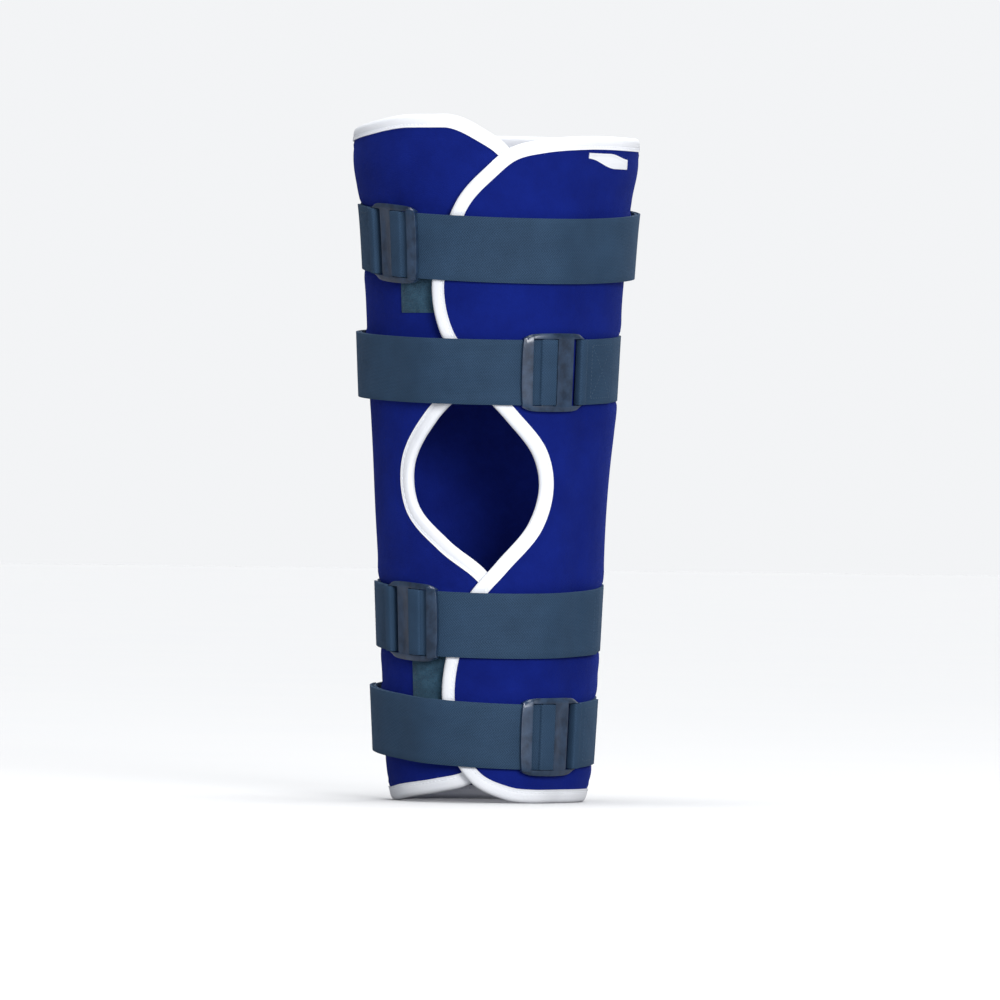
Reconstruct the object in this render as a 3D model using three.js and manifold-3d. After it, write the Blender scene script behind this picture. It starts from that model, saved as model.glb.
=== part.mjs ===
// A knee immobilizer: a tall foam wrap that closes in front with one flap over the other, bound all
// round its edge with white tape, with an opening over the kneecap and four webbing straps, each
// threaded through its own three-bar buckle and folded back over itself.
// It stands on its lower hem. Z is up, the closure faces -Y and +X is the side the top flap comes from.
// Millimetres and radians.

import * as THREE from "three";
import Module from "manifold-3d";
import { mergeVertices } from "three/addons/utils/BufferGeometryUtils.js";

const wasm = await Module();
wasm.setup();

// Overall sizes of the wrap.
const LENGTH = 508;
const WIDTH = 214;
const DEPTH = 202;

// Foam laminate and the tape that binds its edge.
const FOAM = 7;
const FOAM_AT_EDGE = 4.4;
const TAPE = 1;
const TAPE_WIDTH = 10;
const SEWN_GAP = 0.3;
const EDGE_FADE = 5;

// The top flap lies over the under flap.
const FLAP_GAP = 1.1;
const LIFT = FOAM + FLAP_GAP;
const LIFT_STARTS = THREE.MathUtils.degToRad(50);
const LIFT_FULL = THREE.MathUtils.degToRad(22);

// Webbing straps, and how they come down off the top flap's edge.
const STRAP_WIDTH = 48;
const WEBBING = 1.8;
const STRAP_CLEARANCE = 0.8;
const LAYER_GAP = 0.5;
const STEP_DOWN = THREE.MathUtils.degToRad(27);
const STEP_MARGIN = THREE.MathUtils.degToRad(3);

// The buckle frame: two rails joined by an end bar, a plate, a threading bar and a raised lip bar.
const BUCKLE_LENGTH = 56;
const RAIL = 3.6;
const RAIL_CLEARANCE = 0.6;
const RAIL_BOTTOM = 2.6;
const FRAME_TOP = 7.2;
const END_BAR = 4;
const THREAD_BAR = 8.5;
const BAR_BOTTOM = 3.4;
const BAR_TOP = 7;
const LIP = 8;
const LIP_BOTTOM = 5.4;
const LIP_TOP = 8.9;
const PLATE = 15;
const PLATE_BOTTOM = 3.8;
const THREAD_SLOT = 8.2;
const FOLD_CLEARANCE = 0.4;
const TAB_LENGTH = 46;

// Fastening patches sewn on the under flap, and the tape that closes the side pocket.
const PATCH = 1;
const PATCH_CLEARANCE = 0.6;
const PATCH_DENT = 1.9;
const PATCH_MARGIN = 14;
const PATCH_FADE = 14;
const POCKET_TAPE = 0.9;
const POCKET_TAPE_LENGTH = 50;

// Mesh steps.
const COLUMNS = 42;
const ROWS = 25;
const LOOP_SAMPLES = 900;
const ARC_STEP = THREE.MathUtils.degToRad(9.5);
const ROW_GAP = 5;

// Outline of the wrapped leg: up is a share of LENGTH, wide of half WIDTH, deep of half DEPTH,
// and back is how far the section's middle lies behind the axis, as a share of half DEPTH.
const LEG_SECTIONS = [
  { up: 0.0, wide: 0.67, deep: 0.66, back: 0.02 },
  { up: 0.024, wide: 0.702, deep: 0.7, back: 0.025 },
  { up: 0.05, wide: 0.722, deep: 0.73, back: 0.03 },
  { up: 0.1, wide: 0.737, deep: 0.755, back: 0.04 },
  { up: 0.15, wide: 0.75, deep: 0.777, back: 0.05 },
  { up: 0.2, wide: 0.763, deep: 0.79, back: 0.055 },
  { up: 0.35, wide: 0.795, deep: 0.785, back: 0.035 },
  { up: 0.484, wide: 0.832, deep: 0.785, back: 0.0 },
  { up: 0.573, wide: 0.863, deep: 0.818, back: -0.01 },
  { up: 0.703, wide: 0.893, deep: 0.885, back: -0.02 },
  { up: 0.83, wide: 0.93, deep: 0.935, back: -0.02 },
  { up: 0.885, wide: 0.958, deep: 0.962, back: -0.02 },
  { up: 0.925, wide: 0.998, deep: 0.99, back: -0.02 },
  { up: 0.96, wide: 1.0, deep: 1.0, back: -0.02 },
  { up: 1.0, wide: 0.976, deep: 0.975, back: -0.02 },
];

// Free edge of the top flap seen from the front, from its lower hem to its upper rim:
// up is a share of LENGTH, out a share of WIDTH to the +X side of the middle.
const TOP_FLAP_EDGE = [
  { up: 0.0, out: 0.34 },
  { up: 0.0, out: 0.15 },
  { up: 0.005, out: 0.055 },
  { up: 0.03, out: -0.062 },
  { up: 0.088, out: -0.142 },
  { up: 0.157, out: -0.163 },
  { up: 0.22, out: -0.146 },
  { up: 0.295, out: -0.086 },
  { up: 0.35, out: 0.018 },
  { up: 0.407, out: 0.128 },
  { up: 0.459, out: 0.163 },
  { up: 0.504, out: 0.142 },
  { up: 0.557, out: 0.045 },
  { up: 0.618, out: -0.088 },
  { up: 0.683, out: -0.184 },
  { up: 0.748, out: -0.214 },
  { up: 0.807, out: -0.191 },
  { up: 0.878, out: -0.128 },
  { up: 0.92, out: -0.041 },
  { up: 0.951, out: 0.048 },
  { up: 0.964, out: 0.16 },
  { up: 0.971, out: 0.33 },
];

// Free edge of the under flap, in the same columns, from its upper rim down to its lower hem.
const UNDER_FLAP_EDGE = [
  { up: 0.99, out: -0.43 },
  { up: 1.0, out: -0.3 },
  { up: 0.998, out: -0.14 },
  { up: 0.978, out: -0.04 },
  { up: 0.953, out: 0.042 },
  { up: 0.905, out: 0.105 },
  { up: 0.817, out: 0.133 },
  { up: 0.738, out: 0.117 },
  { up: 0.656, out: 0.038 },
  { up: 0.606, out: -0.076 },
  { up: 0.555, out: -0.194 },
  { up: 0.488, out: -0.272 },
  { up: 0.437, out: -0.26 },
  { up: 0.382, out: -0.149 },
  { up: 0.337, out: -0.015 },
  { up: 0.285, out: 0.068 },
  { up: 0.213, out: 0.108 },
  { up: 0.134, out: 0.094 },
  { up: 0.059, out: 0.019 },
  { up: 0.028, out: -0.06 },
  { up: 0.015, out: -0.165 },
  { up: 0.005, out: -0.28 },
];

// Rim and hem round the back: turn is degrees from the middle of the front by way of -X.
const HEM = [
  { turn: 78, up: 0 },
  { turn: 130, up: 0 },
  { turn: 180, up: 0 },
  { turn: 240, up: 0 },
  { turn: 285, up: 0 },
];
const RIM = [
  { turn: 282, up: 0.972 },
  { turn: 235, up: 0.976 },
  { turn: 180, up: 0.98 },
  { turn: 125, up: 0.982 },
  { turn: 82, up: 0.985 },
];

// Heights at which the flaps' free edges end and the rim and the hem begin, as shares of LENGTH.
const TOP_FLAP_CORNERS = { low: 0.06, high: 0.925 };
const UNDER_FLAP_CORNERS = { low: 0.078, high: 0.93 };

// Straps: the height of the middle line in front and at each side is a share of LENGTH,
// buckle is its angle from the front in degrees towards +X, pull the way the strap leaves it,
// and tail how far the folded strap runs on beyond the buckle, in degrees.
const STRAPS = [
  { name: "thigh_upper", front: 0.803, left: 0.826, right: 0.815, buckle: -46, pull: 1, tail: 164 },
  { name: "thigh_lower", front: 0.626, left: 0.638, right: 0.636, buckle: 26.5, pull: -1, tail: 138 },
  { name: "calf_upper", front: 0.258, left: 0.274, right: 0.27, buckle: -41.5, pull: 1, tail: 109 },
  { name: "calf_lower", front: 0.0985, left: 0.12, right: 0.106, buckle: 33, pull: -1, tail: 138 },
];

// Fastening patches: share of WIDTH sideways and of LENGTH up.
const PATCHES = [
  { name: "upper", left: -0.326, right: -0.15, low: 0.712, high: 0.81 },
  { name: "lower", left: -0.268, right: -0.085, low: 0.125, high: 0.235 },
];

const COLOURS = {
  foam: 0x1c2f8c,
  tape: 0xf4f6fa,
  webbing: 0x3a5064,
  buckle: 0x26323c,
  patch: 0x3c5560,
};

function smooth(share) {
  const s = THREE.MathUtils.clamp(share, 0, 1);
  return s * s * (3 - 2 * s);
}

// A column of a table at a height share, by a cubic through its rows.
function sectionValue(column, share) {
  const rows = LEG_SECTIONS;
  const at = THREE.MathUtils.clamp(share, 0, 1);
  let i = 0;
  while (i < rows.length - 2 && at > rows[i + 1].up) i += 1;
  const slope = (k) => {
    const before = rows[Math.max(k - 1, 0)];
    const after = rows[Math.min(k + 1, rows.length - 1)];
    return (after[column] - before[column]) / (after.up - before.up);
  };
  const span = rows[i + 1].up - rows[i].up;
  const t = (at - rows[i].up) / span;
  const t2 = t * t;
  const t3 = t2 * t;
  return (
    (2 * t3 - 3 * t2 + 1) * rows[i][column] +
    (t3 - 2 * t2 + t) * span * slope(i) +
    (3 * t2 - 2 * t3) * rows[i + 1][column] +
    (t3 - t2) * span * slope(i + 1)
  );
}

function halfWidthAt(height) {
  return (WIDTH / 2) * sectionValue("wide", height / LENGTH);
}

// A point at an angle from the front towards +X, standing proud of the single layer's outer face.
function onLeg(angle, height, proud) {
  const share = height / LENGTH;
  const halfDepth = (DEPTH / 2) * sectionValue("deep", share);
  const back = (DEPTH / 2) * sectionValue("back", share);
  return new THREE.Vector3(
    (halfWidthAt(height) + proud) * Math.sin(angle),
    back - (halfDepth + proud) * Math.cos(angle),
    height,
  );
}

// The strap's middle line lies in a tilted plane.
function strapHeight(strap, angle) {
  const mean = (strap.left + strap.right) / 2;
  const side = (strap.right - strap.left) / 2;
  return LENGTH * (mean + (strap.front - mean) * Math.cos(angle) + side * Math.sin(angle));
}

// Under a patch the foam is pressed in, so that the patch lies flush.
function patchDent(angle, height) {
  const sideways = halfWidthAt(height) * Math.sin(angle);
  const shares = PATCHES.map((patch) => {
    const away = Math.max(
      patch.left * WIDTH - sideways,
      sideways - patch.right * WIDTH,
      patch.low * LENGTH - height,
      height - patch.high * LENGTH,
    );
    return 1 - smooth((away - PATCH_MARGIN) / PATCH_FADE);
  });
  return Math.cos(angle) > 0 ? PATCH_DENT * Math.max(...shares) : 0;
}

// turn runs along the wrap from the middle of the front, by way of -X and the back, to the front.
function liftAt(turn) {
  const fromFront = 2 * Math.PI - turn;
  return LIFT * smooth((LIFT_STARTS - fromFront) / (LIFT_STARTS - LIFT_FULL));
}

function foamMiddle(turn, height) {
  const underPatch = turn < Math.PI ? patchDent(-turn, height) : 0;
  return liftAt(turn) - FOAM / 2 - underPatch;
}

// The closed boundary of the wrap in (turn, height), counter-clockwise: hem, top flap's edge, rim,
// under flap's edge.
function edgeTurn(row, isTopFlap) {
  const radius = halfWidthAt(row.up * LENGTH) - FOAM / 2 + (isTopFlap ? LIFT : 0);
  const angle = Math.asin((row.out * WIDTH) / radius);
  return isTopFlap ? 2 * Math.PI - angle : -angle;
}

function boundaryLoop() {
  const meanRadius = WIDTH / 2;
  const flat = (turn, up) => new THREE.Vector3(turn * meanRadius, up * LENGTH, 0);
  const points = [
    ...HEM.map((row) => flat(THREE.MathUtils.degToRad(row.turn), row.up)),
    ...TOP_FLAP_EDGE.map((row) => flat(edgeTurn(row, true), row.up)),
    ...RIM.map((row) => flat(THREE.MathUtils.degToRad(row.turn), row.up)),
    ...UNDER_FLAP_EDGE.map((row) => flat(edgeTurn(row, false), row.up)),
  ];
  const curve = new THREE.CatmullRomCurve3(points, true, "centripetal");
  return curve.getPoints(LOOP_SAMPLES).map((p) => ({
    turn: p.x / meanRadius,
    height: THREE.MathUtils.clamp(p.y, 0, LENGTH),
  }));
}

const loop = boundaryLoop();

// The loop cut at its four corners into sides that each run one way.
function cutLoop() {
  const crossing = (height, isTopFlap, rising) => {
    const onFlap = (p) => (isTopFlap ? p.turn > 1.5 * Math.PI : p.turn < 0.5 * Math.PI);
    for (let i = 0; i < loop.length - 1; i += 1) {
      const [a, b] = [loop[i], loop[i + 1]];
      const crosses = rising
        ? a.height < height && b.height >= height
        : a.height > height && b.height <= height;
      if (crosses && onFlap(a)) return i;
    }
    return -1;
  };
  const corners = [
    crossing(UNDER_FLAP_CORNERS.low * LENGTH, false, false),
    crossing(TOP_FLAP_CORNERS.low * LENGTH, true, true),
    crossing(TOP_FLAP_CORNERS.high * LENGTH, true, true),
    crossing(UNDER_FLAP_CORNERS.high * LENGTH, false, false),
  ];
  const between = (from, to) => {
    const side = [];
    const count = loop.length - 1;
    for (let i = from; i % count !== to % count; i += 1) side.push(loop[i % count]);
    side.push(loop[to % count]);
    return side;
  };
  return {
    hem: between(corners[0], corners[1]),
    topEdge: between(corners[1], corners[2]),
    rim: between(corners[2], corners[3]).reverse(),
    underEdge: between(corners[3], corners[0]).reverse(),
  };
}

const sides = cutLoop();

// The place on a side where a coordinate has a value, with the side's inward normal on the cloth.
function stationOn(side, key, value, inwardSign) {
  let i = 0;
  while (i < side.length - 2 && side[i + 1][key] < value) i += 1;
  const [a, b] = [side[i], side[i + 1]];
  const t = THREE.MathUtils.clamp((value - a[key]) / (b[key] - a[key] || 1), 0, 1);
  const height = THREE.MathUtils.lerp(a.height, b.height, t);
  const before = side[Math.max(i - 2, 0)];
  const after = side[Math.min(i + 3, side.length - 1)];
  const radius = halfWidthAt(height);
  const along = (after.turn - before.turn) * radius;
  const rise = after.height - before.height;
  const size = Math.hypot(along, rise);
  return {
    turn: THREE.MathUtils.lerp(a.turn, b.turn, t),
    height,
    normalTurn: (inwardSign * -rise) / size / radius,
    normalHeight: (inwardSign * along) / size,
  };
}

function insetFrom(station, inset) {
  return {
    turn: station.turn + station.normalTurn * inset,
    height: station.height + station.normalHeight * inset,
  };
}

function rowHeight(row) {
  return (LENGTH * row) / ROWS;
}

// Stations round the boundary: hem, top flap's edge, rim, under flap's edge.
function boundaryStations() {
  const across = (side, inwardSign) => {
    const list = [];
    for (let u = 0; u <= COLUMNS; u += 1) {
      const turn = THREE.MathUtils.lerp(side[0].turn, side.at(-1).turn, u / COLUMNS);
      list.push(stationOn(side, "turn", turn, inwardSign));
    }
    return list;
  };
  const upward = (side, inwardSign) => {
    const lowest = side[0].height + ROW_GAP;
    const highest = side.at(-1).height - ROW_GAP;
    const heights = [side[0].height];
    for (let v = 1; v < ROWS; v += 1) {
      heights.push(THREE.MathUtils.clamp(rowHeight(v), lowest + v, highest - (ROWS - v)));
    }
    heights.push(side.at(-1).height);
    return heights.map((height) => stationOn(side, "height", height, inwardSign));
  };
  return {
    hem: across(sides.hem, 1),
    topEdge: upward(sides.topEdge, 1),
    rim: across(sides.rim, -1),
    underEdge: upward(sides.underEdge, -1),
  };
}

const stations = boundaryStations();

// The same normal is used where two sides meet, so that nothing opens at a corner.
function joinCorners() {
  const pairs = [
    [stations.hem[0], stations.underEdge[0]],
    [stations.hem.at(-1), stations.topEdge[0]],
    [stations.rim.at(-1), stations.topEdge.at(-1)],
    [stations.rim[0], stations.underEdge.at(-1)],
  ];
  pairs.forEach(([a, b]) => {
    const turn = (a.normalTurn + b.normalTurn) / 2;
    const height = (a.normalHeight + b.normalHeight) / 2;
    const size = Math.hypot(turn * halfWidthAt(a.height), height);
    Object.assign(a, { normalTurn: turn / size, normalHeight: height / size });
    Object.assign(b, a);
  });
}

joinCorners();

// A closed solid from a list of points and faces, as a three.js geometry.
function geometryFrom(points, faces) {
  const positions = [];
  faces.forEach((face) => {
    for (let i = 1; i < face.length - 1; i += 1) {
      [face[0], face[i], face[i + 1]].forEach((k) => positions.push(...points[k].toArray()));
    }
  });
  const geometry = new THREE.BufferGeometry();
  geometry.setAttribute("position", new THREE.Float32BufferAttribute(positions, 3));
  geometry.computeVertexNormals();
  return geometry;
}

// A quad as two triangles, cut along its shorter diagonal.
function splitQuad(points, a, b, c, d) {
  const along = points[a].distanceTo(points[c]);
  const across = points[b].distanceTo(points[d]);
  return along <= across ? [[a, b, c], [a, c, d]] : [[b, c, d], [b, d, a]];
}

// A point on the band that the tape covers, which is straight between its two edges.
function onBand(station, inset, off) {
  const band = TAPE_WIDTH + 2 * SEWN_GAP;
  const at = (distance) => {
    const place = insetFrom(station, distance);
    return onLeg(-place.turn, place.height, foamMiddle(place.turn, place.height) + off);
  };
  return at(0).lerp(at(band), inset / band);
}

// The foam wrap: rings that follow the boundary, where the foam is pressed thin inside the tape,
// round a grid of rows and columns.
function makeWrap() {
  const around = [
    ...stations.hem.slice(0, -1),
    ...stations.topEdge.slice(0, -1),
    ...stations.rim.slice(1).reverse(),
    ...stations.underEdge.slice(1).reverse(),
  ];
  const outer = [];
  const inner = [];
  const add = (pointAt) => {
    outer.push(pointAt(0.5));
    inner.push(pointAt(-0.5));
    return outer.length - 1;
  };
  const addThin = (station, inset) => add((side) => onBand(station, inset, side * FOAM_AT_EDGE));
  const addFull = ({ turn, height }) =>
    add((side) => onLeg(-turn, height, foamMiddle(turn, height) + side * FOAM));
  const ringPlaces = around.map((station) => insetFrom(station, TAPE_WIDTH + EDGE_FADE));
  const rings = [
    around.map((station) => addThin(station, TAPE + SEWN_GAP)),
    around.map((station) => addThin(station, TAPE_WIDTH + 2 * SEWN_GAP)),
    ringPlaces.map((place) => addFull(place)),
  ];
  // Corners of the grid are where the sides meet, so each border is a run of the innermost ring.
  const total = around.length;
  const ringAt = (u, v) => {
    if (v === 0) return u;
    if (u === COLUMNS) return COLUMNS + v;
    if (v === ROWS) return 2 * COLUMNS + ROWS - u;
    return (2 * COLUMNS + 2 * ROWS - v) % total;
  };
  const grid = Array.from({ length: ROWS + 1 }, () => new Array(COLUMNS + 1));
  const isBorder = (u, v) => u === 0 || v === 0 || u === COLUMNS || v === ROWS;
  for (let u = 0; u <= COLUMNS; u += 1) {
    const lowest = ringPlaces[ringAt(u, 0)].height;
    const highest = ringPlaces[ringAt(u, ROWS)].height;
    for (let v = 0; v <= ROWS; v += 1) {
      if (isBorder(u, v)) {
        grid[v][u] = rings[2][ringAt(u, v)];
      } else {
        const left = ringPlaces[ringAt(0, v)];
        const right = ringPlaces[ringAt(COLUMNS, v)];
        const least = lowest + ROW_GAP * v;
        const most = highest - ROW_GAP * (ROWS - v);
        grid[v][u] = addFull({
          turn: THREE.MathUtils.lerp(left.turn, right.turn, u / COLUMNS),
          height: THREE.MathUtils.clamp(rowHeight(v), least, most),
        });
      }
    }
  }
  const count = outer.length;
  const points = [...outer, ...inner];
  const faces = [];
  const addQuad = (triangles) => {
    triangles.forEach((tri) => {
      faces.push([...tri].reverse());
      faces.push(tri.map((i) => i + count));
    });
  };
  for (let v = 0; v < ROWS; v += 1) {
    for (let u = 0; u < COLUMNS; u += 1) {
      addQuad(splitQuad(points, grid[v][u], grid[v][u + 1], grid[v + 1][u + 1], grid[v + 1][u]));
    }
  }
  for (let i = 0; i < total; i += 1) {
    const next = (i + 1) % total;
    for (let k = 0; k < rings.length - 1; k += 1) {
      const [near, far] = [rings[k], rings[k + 1]];
      addQuad([[near[i], near[next], far[next]], [near[i], far[next], far[i]]]);
    }
    const [a, b] = [rings[0][i], rings[0][next]];
    faces.push([b, b + count, a + count, a]);
  }
  return outwards(points, faces);
}

// A closed profile swept along a list of stations. place(station, point) gives each profile point's
// position, and each end is closed by quads of the profile.
function sweep(path, profile, place, ends) {
  const points = path.flatMap((station) => profile.map((point) => place(station, point)));
  const n = profile.length;
  const faces = [];
  for (let s = 0; s < path.length - 1; s += 1) {
    for (let i = 0; i < n; i += 1) {
      const j = (i + 1) % n;
      const [a, b, c, d] = [s * n + i, s * n + j, (s + 1) * n + j, (s + 1) * n + i];
      const rises = (profile[j].inset ?? 0) >= (profile[i].inset ?? 0);
      faces.push(...(rises ? [[a, b, c], [a, c, d]] : [[a, b, d], [b, c, d]]));
    }
  }
  const last = points.length - n;
  ends.forEach((end) => {
    faces.push([...end].reverse());
    faces.push(end.map((i) => i + last));
  });
  return outwards(points, faces);
}

// Binding tape: a channel folded over the foam's edge.
function makeBinding(list) {
  const inner = FOAM_AT_EDGE / 2 + SEWN_GAP;
  const outer = inner + TAPE;
  const profile = [
    { inset: TAPE_WIDTH, off: outer },
    { inset: 0, off: outer },
    { inset: 0, off: -outer },
    { inset: TAPE_WIDTH, off: -outer },
    { inset: TAPE_WIDTH, off: -inner },
    { inset: TAPE, off: -inner },
    { inset: TAPE, off: inner },
    { inset: TAPE_WIDTH, off: inner },
  ];
  const ends = [[0, 1, 6, 7], [1, 2, 5, 6], [2, 3, 4, 5]];
  const place = (station, point) => onBand(station, point.inset, point.off);
  return sweep(trimEnds(list), profile, place, ends);
}

// Turns a solid's faces round if they point inwards.
function outwards(points, faces) {
  let volume = 0;
  faces.forEach((face) => {
    for (let i = 1; i < face.length - 1; i += 1) {
      const [a, b, c] = [points[face[0]], points[face[i]], points[face[i + 1]]];
      volume += a.dot(b.clone().cross(c));
    }
  });
  return geometryFrom(points, volume > 0 ? faces : faces.map((face) => [...face].reverse()));
}

// Two strips of tape meet with a small gap.
function trimEnds(list) {
  const step = (from, to) => {
    const run = Math.hypot((to.turn - from.turn) * halfWidthAt(from.height), to.height - from.height);
    const t = SEWN_GAP / run;
    const mix = (key) => THREE.MathUtils.lerp(from[key], to[key], t);
    return {
      turn: mix("turn"),
      height: mix("height"),
      normalTurn: mix("normalTurn"),
      normalHeight: mix("normalHeight"),
    };
  };
  return [step(list[0], list[1]), ...list.slice(1, -1), step(list.at(-1), list.at(-2))];
}

// Least angle of the top flap's edge under a strap, and the height a strap rests at over the flaps.
function flapEdgeUnder(strap) {
  const half = STRAP_WIDTH / 2;
  const steps = [-half, -half / 2, 0, half / 2, half];
  const angles = steps.map((up) => {
    const station = stationOn(sides.topEdge, "height", strap.front * LENGTH + up, 1);
    return 2 * Math.PI - station.turn;
  });
  return Math.min(...angles) - STEP_MARGIN;
}

function restHeight(angle, edge) {
  const front = Math.atan2(Math.sin(angle), Math.cos(angle));
  const up = smooth((LIFT_STARTS - front) / (LIFT_STARTS - LIFT_FULL));
  const down = smooth((front - edge + STEP_DOWN) / STEP_DOWN);
  return LIFT * Math.min(up, down);
}

// Where the parts of a buckle lie along the strap, from the buckle's middle towards the pull.
function buckleLayout() {
  const end = BUCKLE_LENGTH / 2;
  const endBar = { from: -end, to: END_BAR - end };
  const lip = { from: end - LIP, to: end };
  const threadEnd = lip.from - THREAD_SLOT;
  const threadBar = { from: threadEnd - THREAD_BAR, to: threadEnd };
  const plateEnd = threadBar.from - WEBBING - 3 * FOLD_CLEARANCE;
  return { endBar, plate: { from: plateEnd - PLATE, to: plateEnd }, threadBar, lip };
}

// Where a strap runs: its buckle's angle, the radius that lengths are measured at, and how it
// rests over the flaps.
function strapCourse(strap) {
  const buckle = THREE.MathUtils.degToRad(strap.buckle);
  const edge = flapEdgeUnder(strap);
  const radius = halfWidthAt(strap.front * LENGTH) + restHeight(buckle, edge) + BAR_TOP / 2;
  return { buckle, edge, radius };
}

function onCourse(strap, course, along, up, high) {
  const angle = course.buckle + (strap.pull * along) / course.radius;
  return onLeg(angle, strapHeight(strap, angle) + up, restHeight(angle, course.edge) + high);
}

// The webbing's middle line as (along, high): the sewn tab, round the end bar, once round the leg,
// round the threading bar and back over itself.
function strapPath(strap, radius) {
  const { endBar, threadBar } = buckleLayout();
  const low = STRAP_CLEARANCE + WEBBING / 2;
  const high = low + WEBBING + LAYER_GAP;
  const reach = WEBBING / 2 + FOLD_CLEARANCE;
  const corner = reach * (Math.SQRT2 - 1);
  const round = (bar, side) => {
    const near = side > 0 ? bar.from : bar.to;
    const far = side > 0 ? bar.to : bar.from;
    const bottom = Math.max(BAR_BOTTOM - reach, low);
    return [
      { along: far + side * 5.5, high },
      { along: far + side * (reach + 0.2), high: BAR_TOP - 0.8 },
      { along: far + side * reach, high: BAR_TOP + corner },
      { along: far + side * corner, high: BAR_TOP + reach },
      { along: near - side * corner, high: BAR_TOP + reach },
      { along: near - side * reach, high: BAR_TOP + corner },
      { along: near - side * reach, high: BAR_BOTTOM - corner },
      { along: near - side * corner, high: bottom },
      { along: near + side * 4.5, high: low },
    ];
  };
  const circuit = 2 * Math.PI * radius;
  const tabFrom = endBar.from - TAB_LENGTH;
  const tab = [tabFrom, tabFrom + TAB_LENGTH / 3, tabFrom + (2 * TAB_LENGTH) / 3, endBar.from - 9];
  const tailEnd = THREE.MathUtils.degToRad(strap.tail) * radius;
  const step = ARC_STEP * radius;
  const front = [];
  for (let along = threadBar.to + 13; along < tailEnd - step / 3; along += step) front.push(along);
  front.push(tailEnd);
  const behind = [];
  for (let along = tailEnd + step; along < circuit + tabFrom - step / 3; along += step) {
    behind.push(along);
  }
  const under = [...tab].reverse();
  const around = [threadBar.to + 3, ...front, ...behind].reverse();
  return [
    ...tab.map((along) => ({ along, high })),
    ...round(endBar, -1),
    ...under.map((along) => ({ along, high: low })),
    ...around.map((along) => ({ along: along - circuit, high: low })),
    ...round(threadBar, 1)
      .reverse()
      .map((point) => ({ along: point.along - circuit, high: point.high })),
    ...front.map((along) => ({ along: along - circuit, high })),
  ];
}

function makeStrap(strap) {
  const course = strapCourse(strap);
  const path = strapPath(strap, course.radius);
  const stationsOfStrap = path.map((point, i) => {
    const before = path[Math.max(i - 1, 0)];
    const after = path[Math.min(i + 1, path.length - 1)];
    const tangent = (from, to) => {
      const v = new THREE.Vector2(to.along - from.along, to.high - from.high);
      return v.lengthSq() ? v.normalize() : v;
    };
    const into = tangent(before, point);
    const out = tangent(point, after);
    const mean = into.clone().add(out).normalize();
    const miter = Math.max(Math.abs(mean.dot(into.lengthSq() ? into : out)), 0.7);
    return { ...point, normal: new THREE.Vector2(-mean.y, mean.x).divideScalar(miter) };
  });
  const profile = [
    { side: 1, up: 1 },
    { side: 1, up: -1 },
    { side: -1, up: -1 },
    { side: -1, up: 1 },
  ];
  const place = (station, point) => {
    const along = station.along + (station.normal.x * point.side * WEBBING) / 2;
    const high = station.high + (station.normal.y * point.side * WEBBING) / 2;
    return onCourse(strap, course, along, (point.up * STRAP_WIDTH) / 2, high);
  };
  return sweep(stationsOfStrap, profile, place, [[0, 1, 2, 3]]);
}

function solidOf(geometry) {
  const bare = geometry.clone();
  bare.deleteAttribute("normal");
  bare.deleteAttribute("uv");
  const merged = mergeVertices(bare, 1e-3);
  return new wasm.Manifold(
    new wasm.Mesh({
      numProp: 3,
      vertProperties: merged.attributes.position.array,
      triVerts: new Uint32Array(merged.index.array),
    }),
  );
}

function geometryOf(solid) {
  const mesh = solid.getMesh();
  const geometry = new THREE.BufferGeometry();
  geometry.setAttribute("position", new THREE.BufferAttribute(mesh.vertProperties, 3));
  geometry.setIndex(new THREE.BufferAttribute(mesh.triVerts, 1));
  geometry.computeVertexNormals();
  return geometry;
}

// A bar of the buckle: a block in (along, up, high), bent to the leg.
function bentBlock(strap, along, up, high) {
  const course = strapCourse(strap);
  const steps = Math.ceil((along.to - along.from) / (ARC_STEP * course.radius));
  const path = [];
  for (let i = 0; i <= steps; i += 1) path.push(THREE.MathUtils.lerp(along.from, along.to, i / steps));
  const profile = [
    { up: up.from, high: high.from },
    { up: up.to, high: high.from },
    { up: up.to, high: high.to },
    { up: up.from, high: high.to },
  ];
  const place = (at, point) => onCourse(strap, course, at, point.up, point.high);
  return solidOf(sweep(path, profile, place, [[0, 1, 2, 3]]));
}

function makeBuckle(strap) {
  const layout = buckleLayout();
  const inside = STRAP_WIDTH / 2 + RAIL_CLEARANCE;
  const outside = inside + RAIL;
  const whole = { from: layout.endBar.from, to: layout.lip.to };
  const frame = { from: RAIL_BOTTOM, to: FRAME_TOP };
  const between = { from: -inside - RAIL / 2, to: inside + RAIL / 2 };
  const bar = { from: BAR_BOTTOM, to: BAR_TOP };
  return geometryOf(
    bentBlock(strap, whole, { from: inside, to: outside }, frame)
      .add(bentBlock(strap, whole, { from: -outside, to: -inside }, frame))
      .add(bentBlock(strap, layout.endBar, between, bar))
      .add(bentBlock(strap, layout.plate, between, { from: PLATE_BOTTOM, to: BAR_TOP }))
      .add(bentBlock(strap, layout.threadBar, between, bar))
      .add(bentBlock(strap, layout.lip, between, { from: LIP_BOTTOM, to: LIP_TOP })),
  );
}

// A flat piece sewn on the wrap's outer face: columns of (angle, low, high).
function makeSewnPiece(columns, surface, clearance, thick) {
  const profile = [
    { row: "low", off: clearance },
    { row: "low", off: clearance + thick },
    { row: "middle", off: clearance + thick },
    { row: "high", off: clearance + thick },
    { row: "high", off: clearance },
    { row: "middle", off: clearance },
  ];
  const place = (column, point) => {
    const middle = (column.low + column.high) / 2;
    const height = point.row === "middle" ? middle : column[point.row];
    return onLeg(column.angle, height, surface(column.angle, height) + point.off);
  };
  return sweep(columns, profile, place, [[0, 1, 2, 5], [5, 2, 3, 4]]);
}

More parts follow.
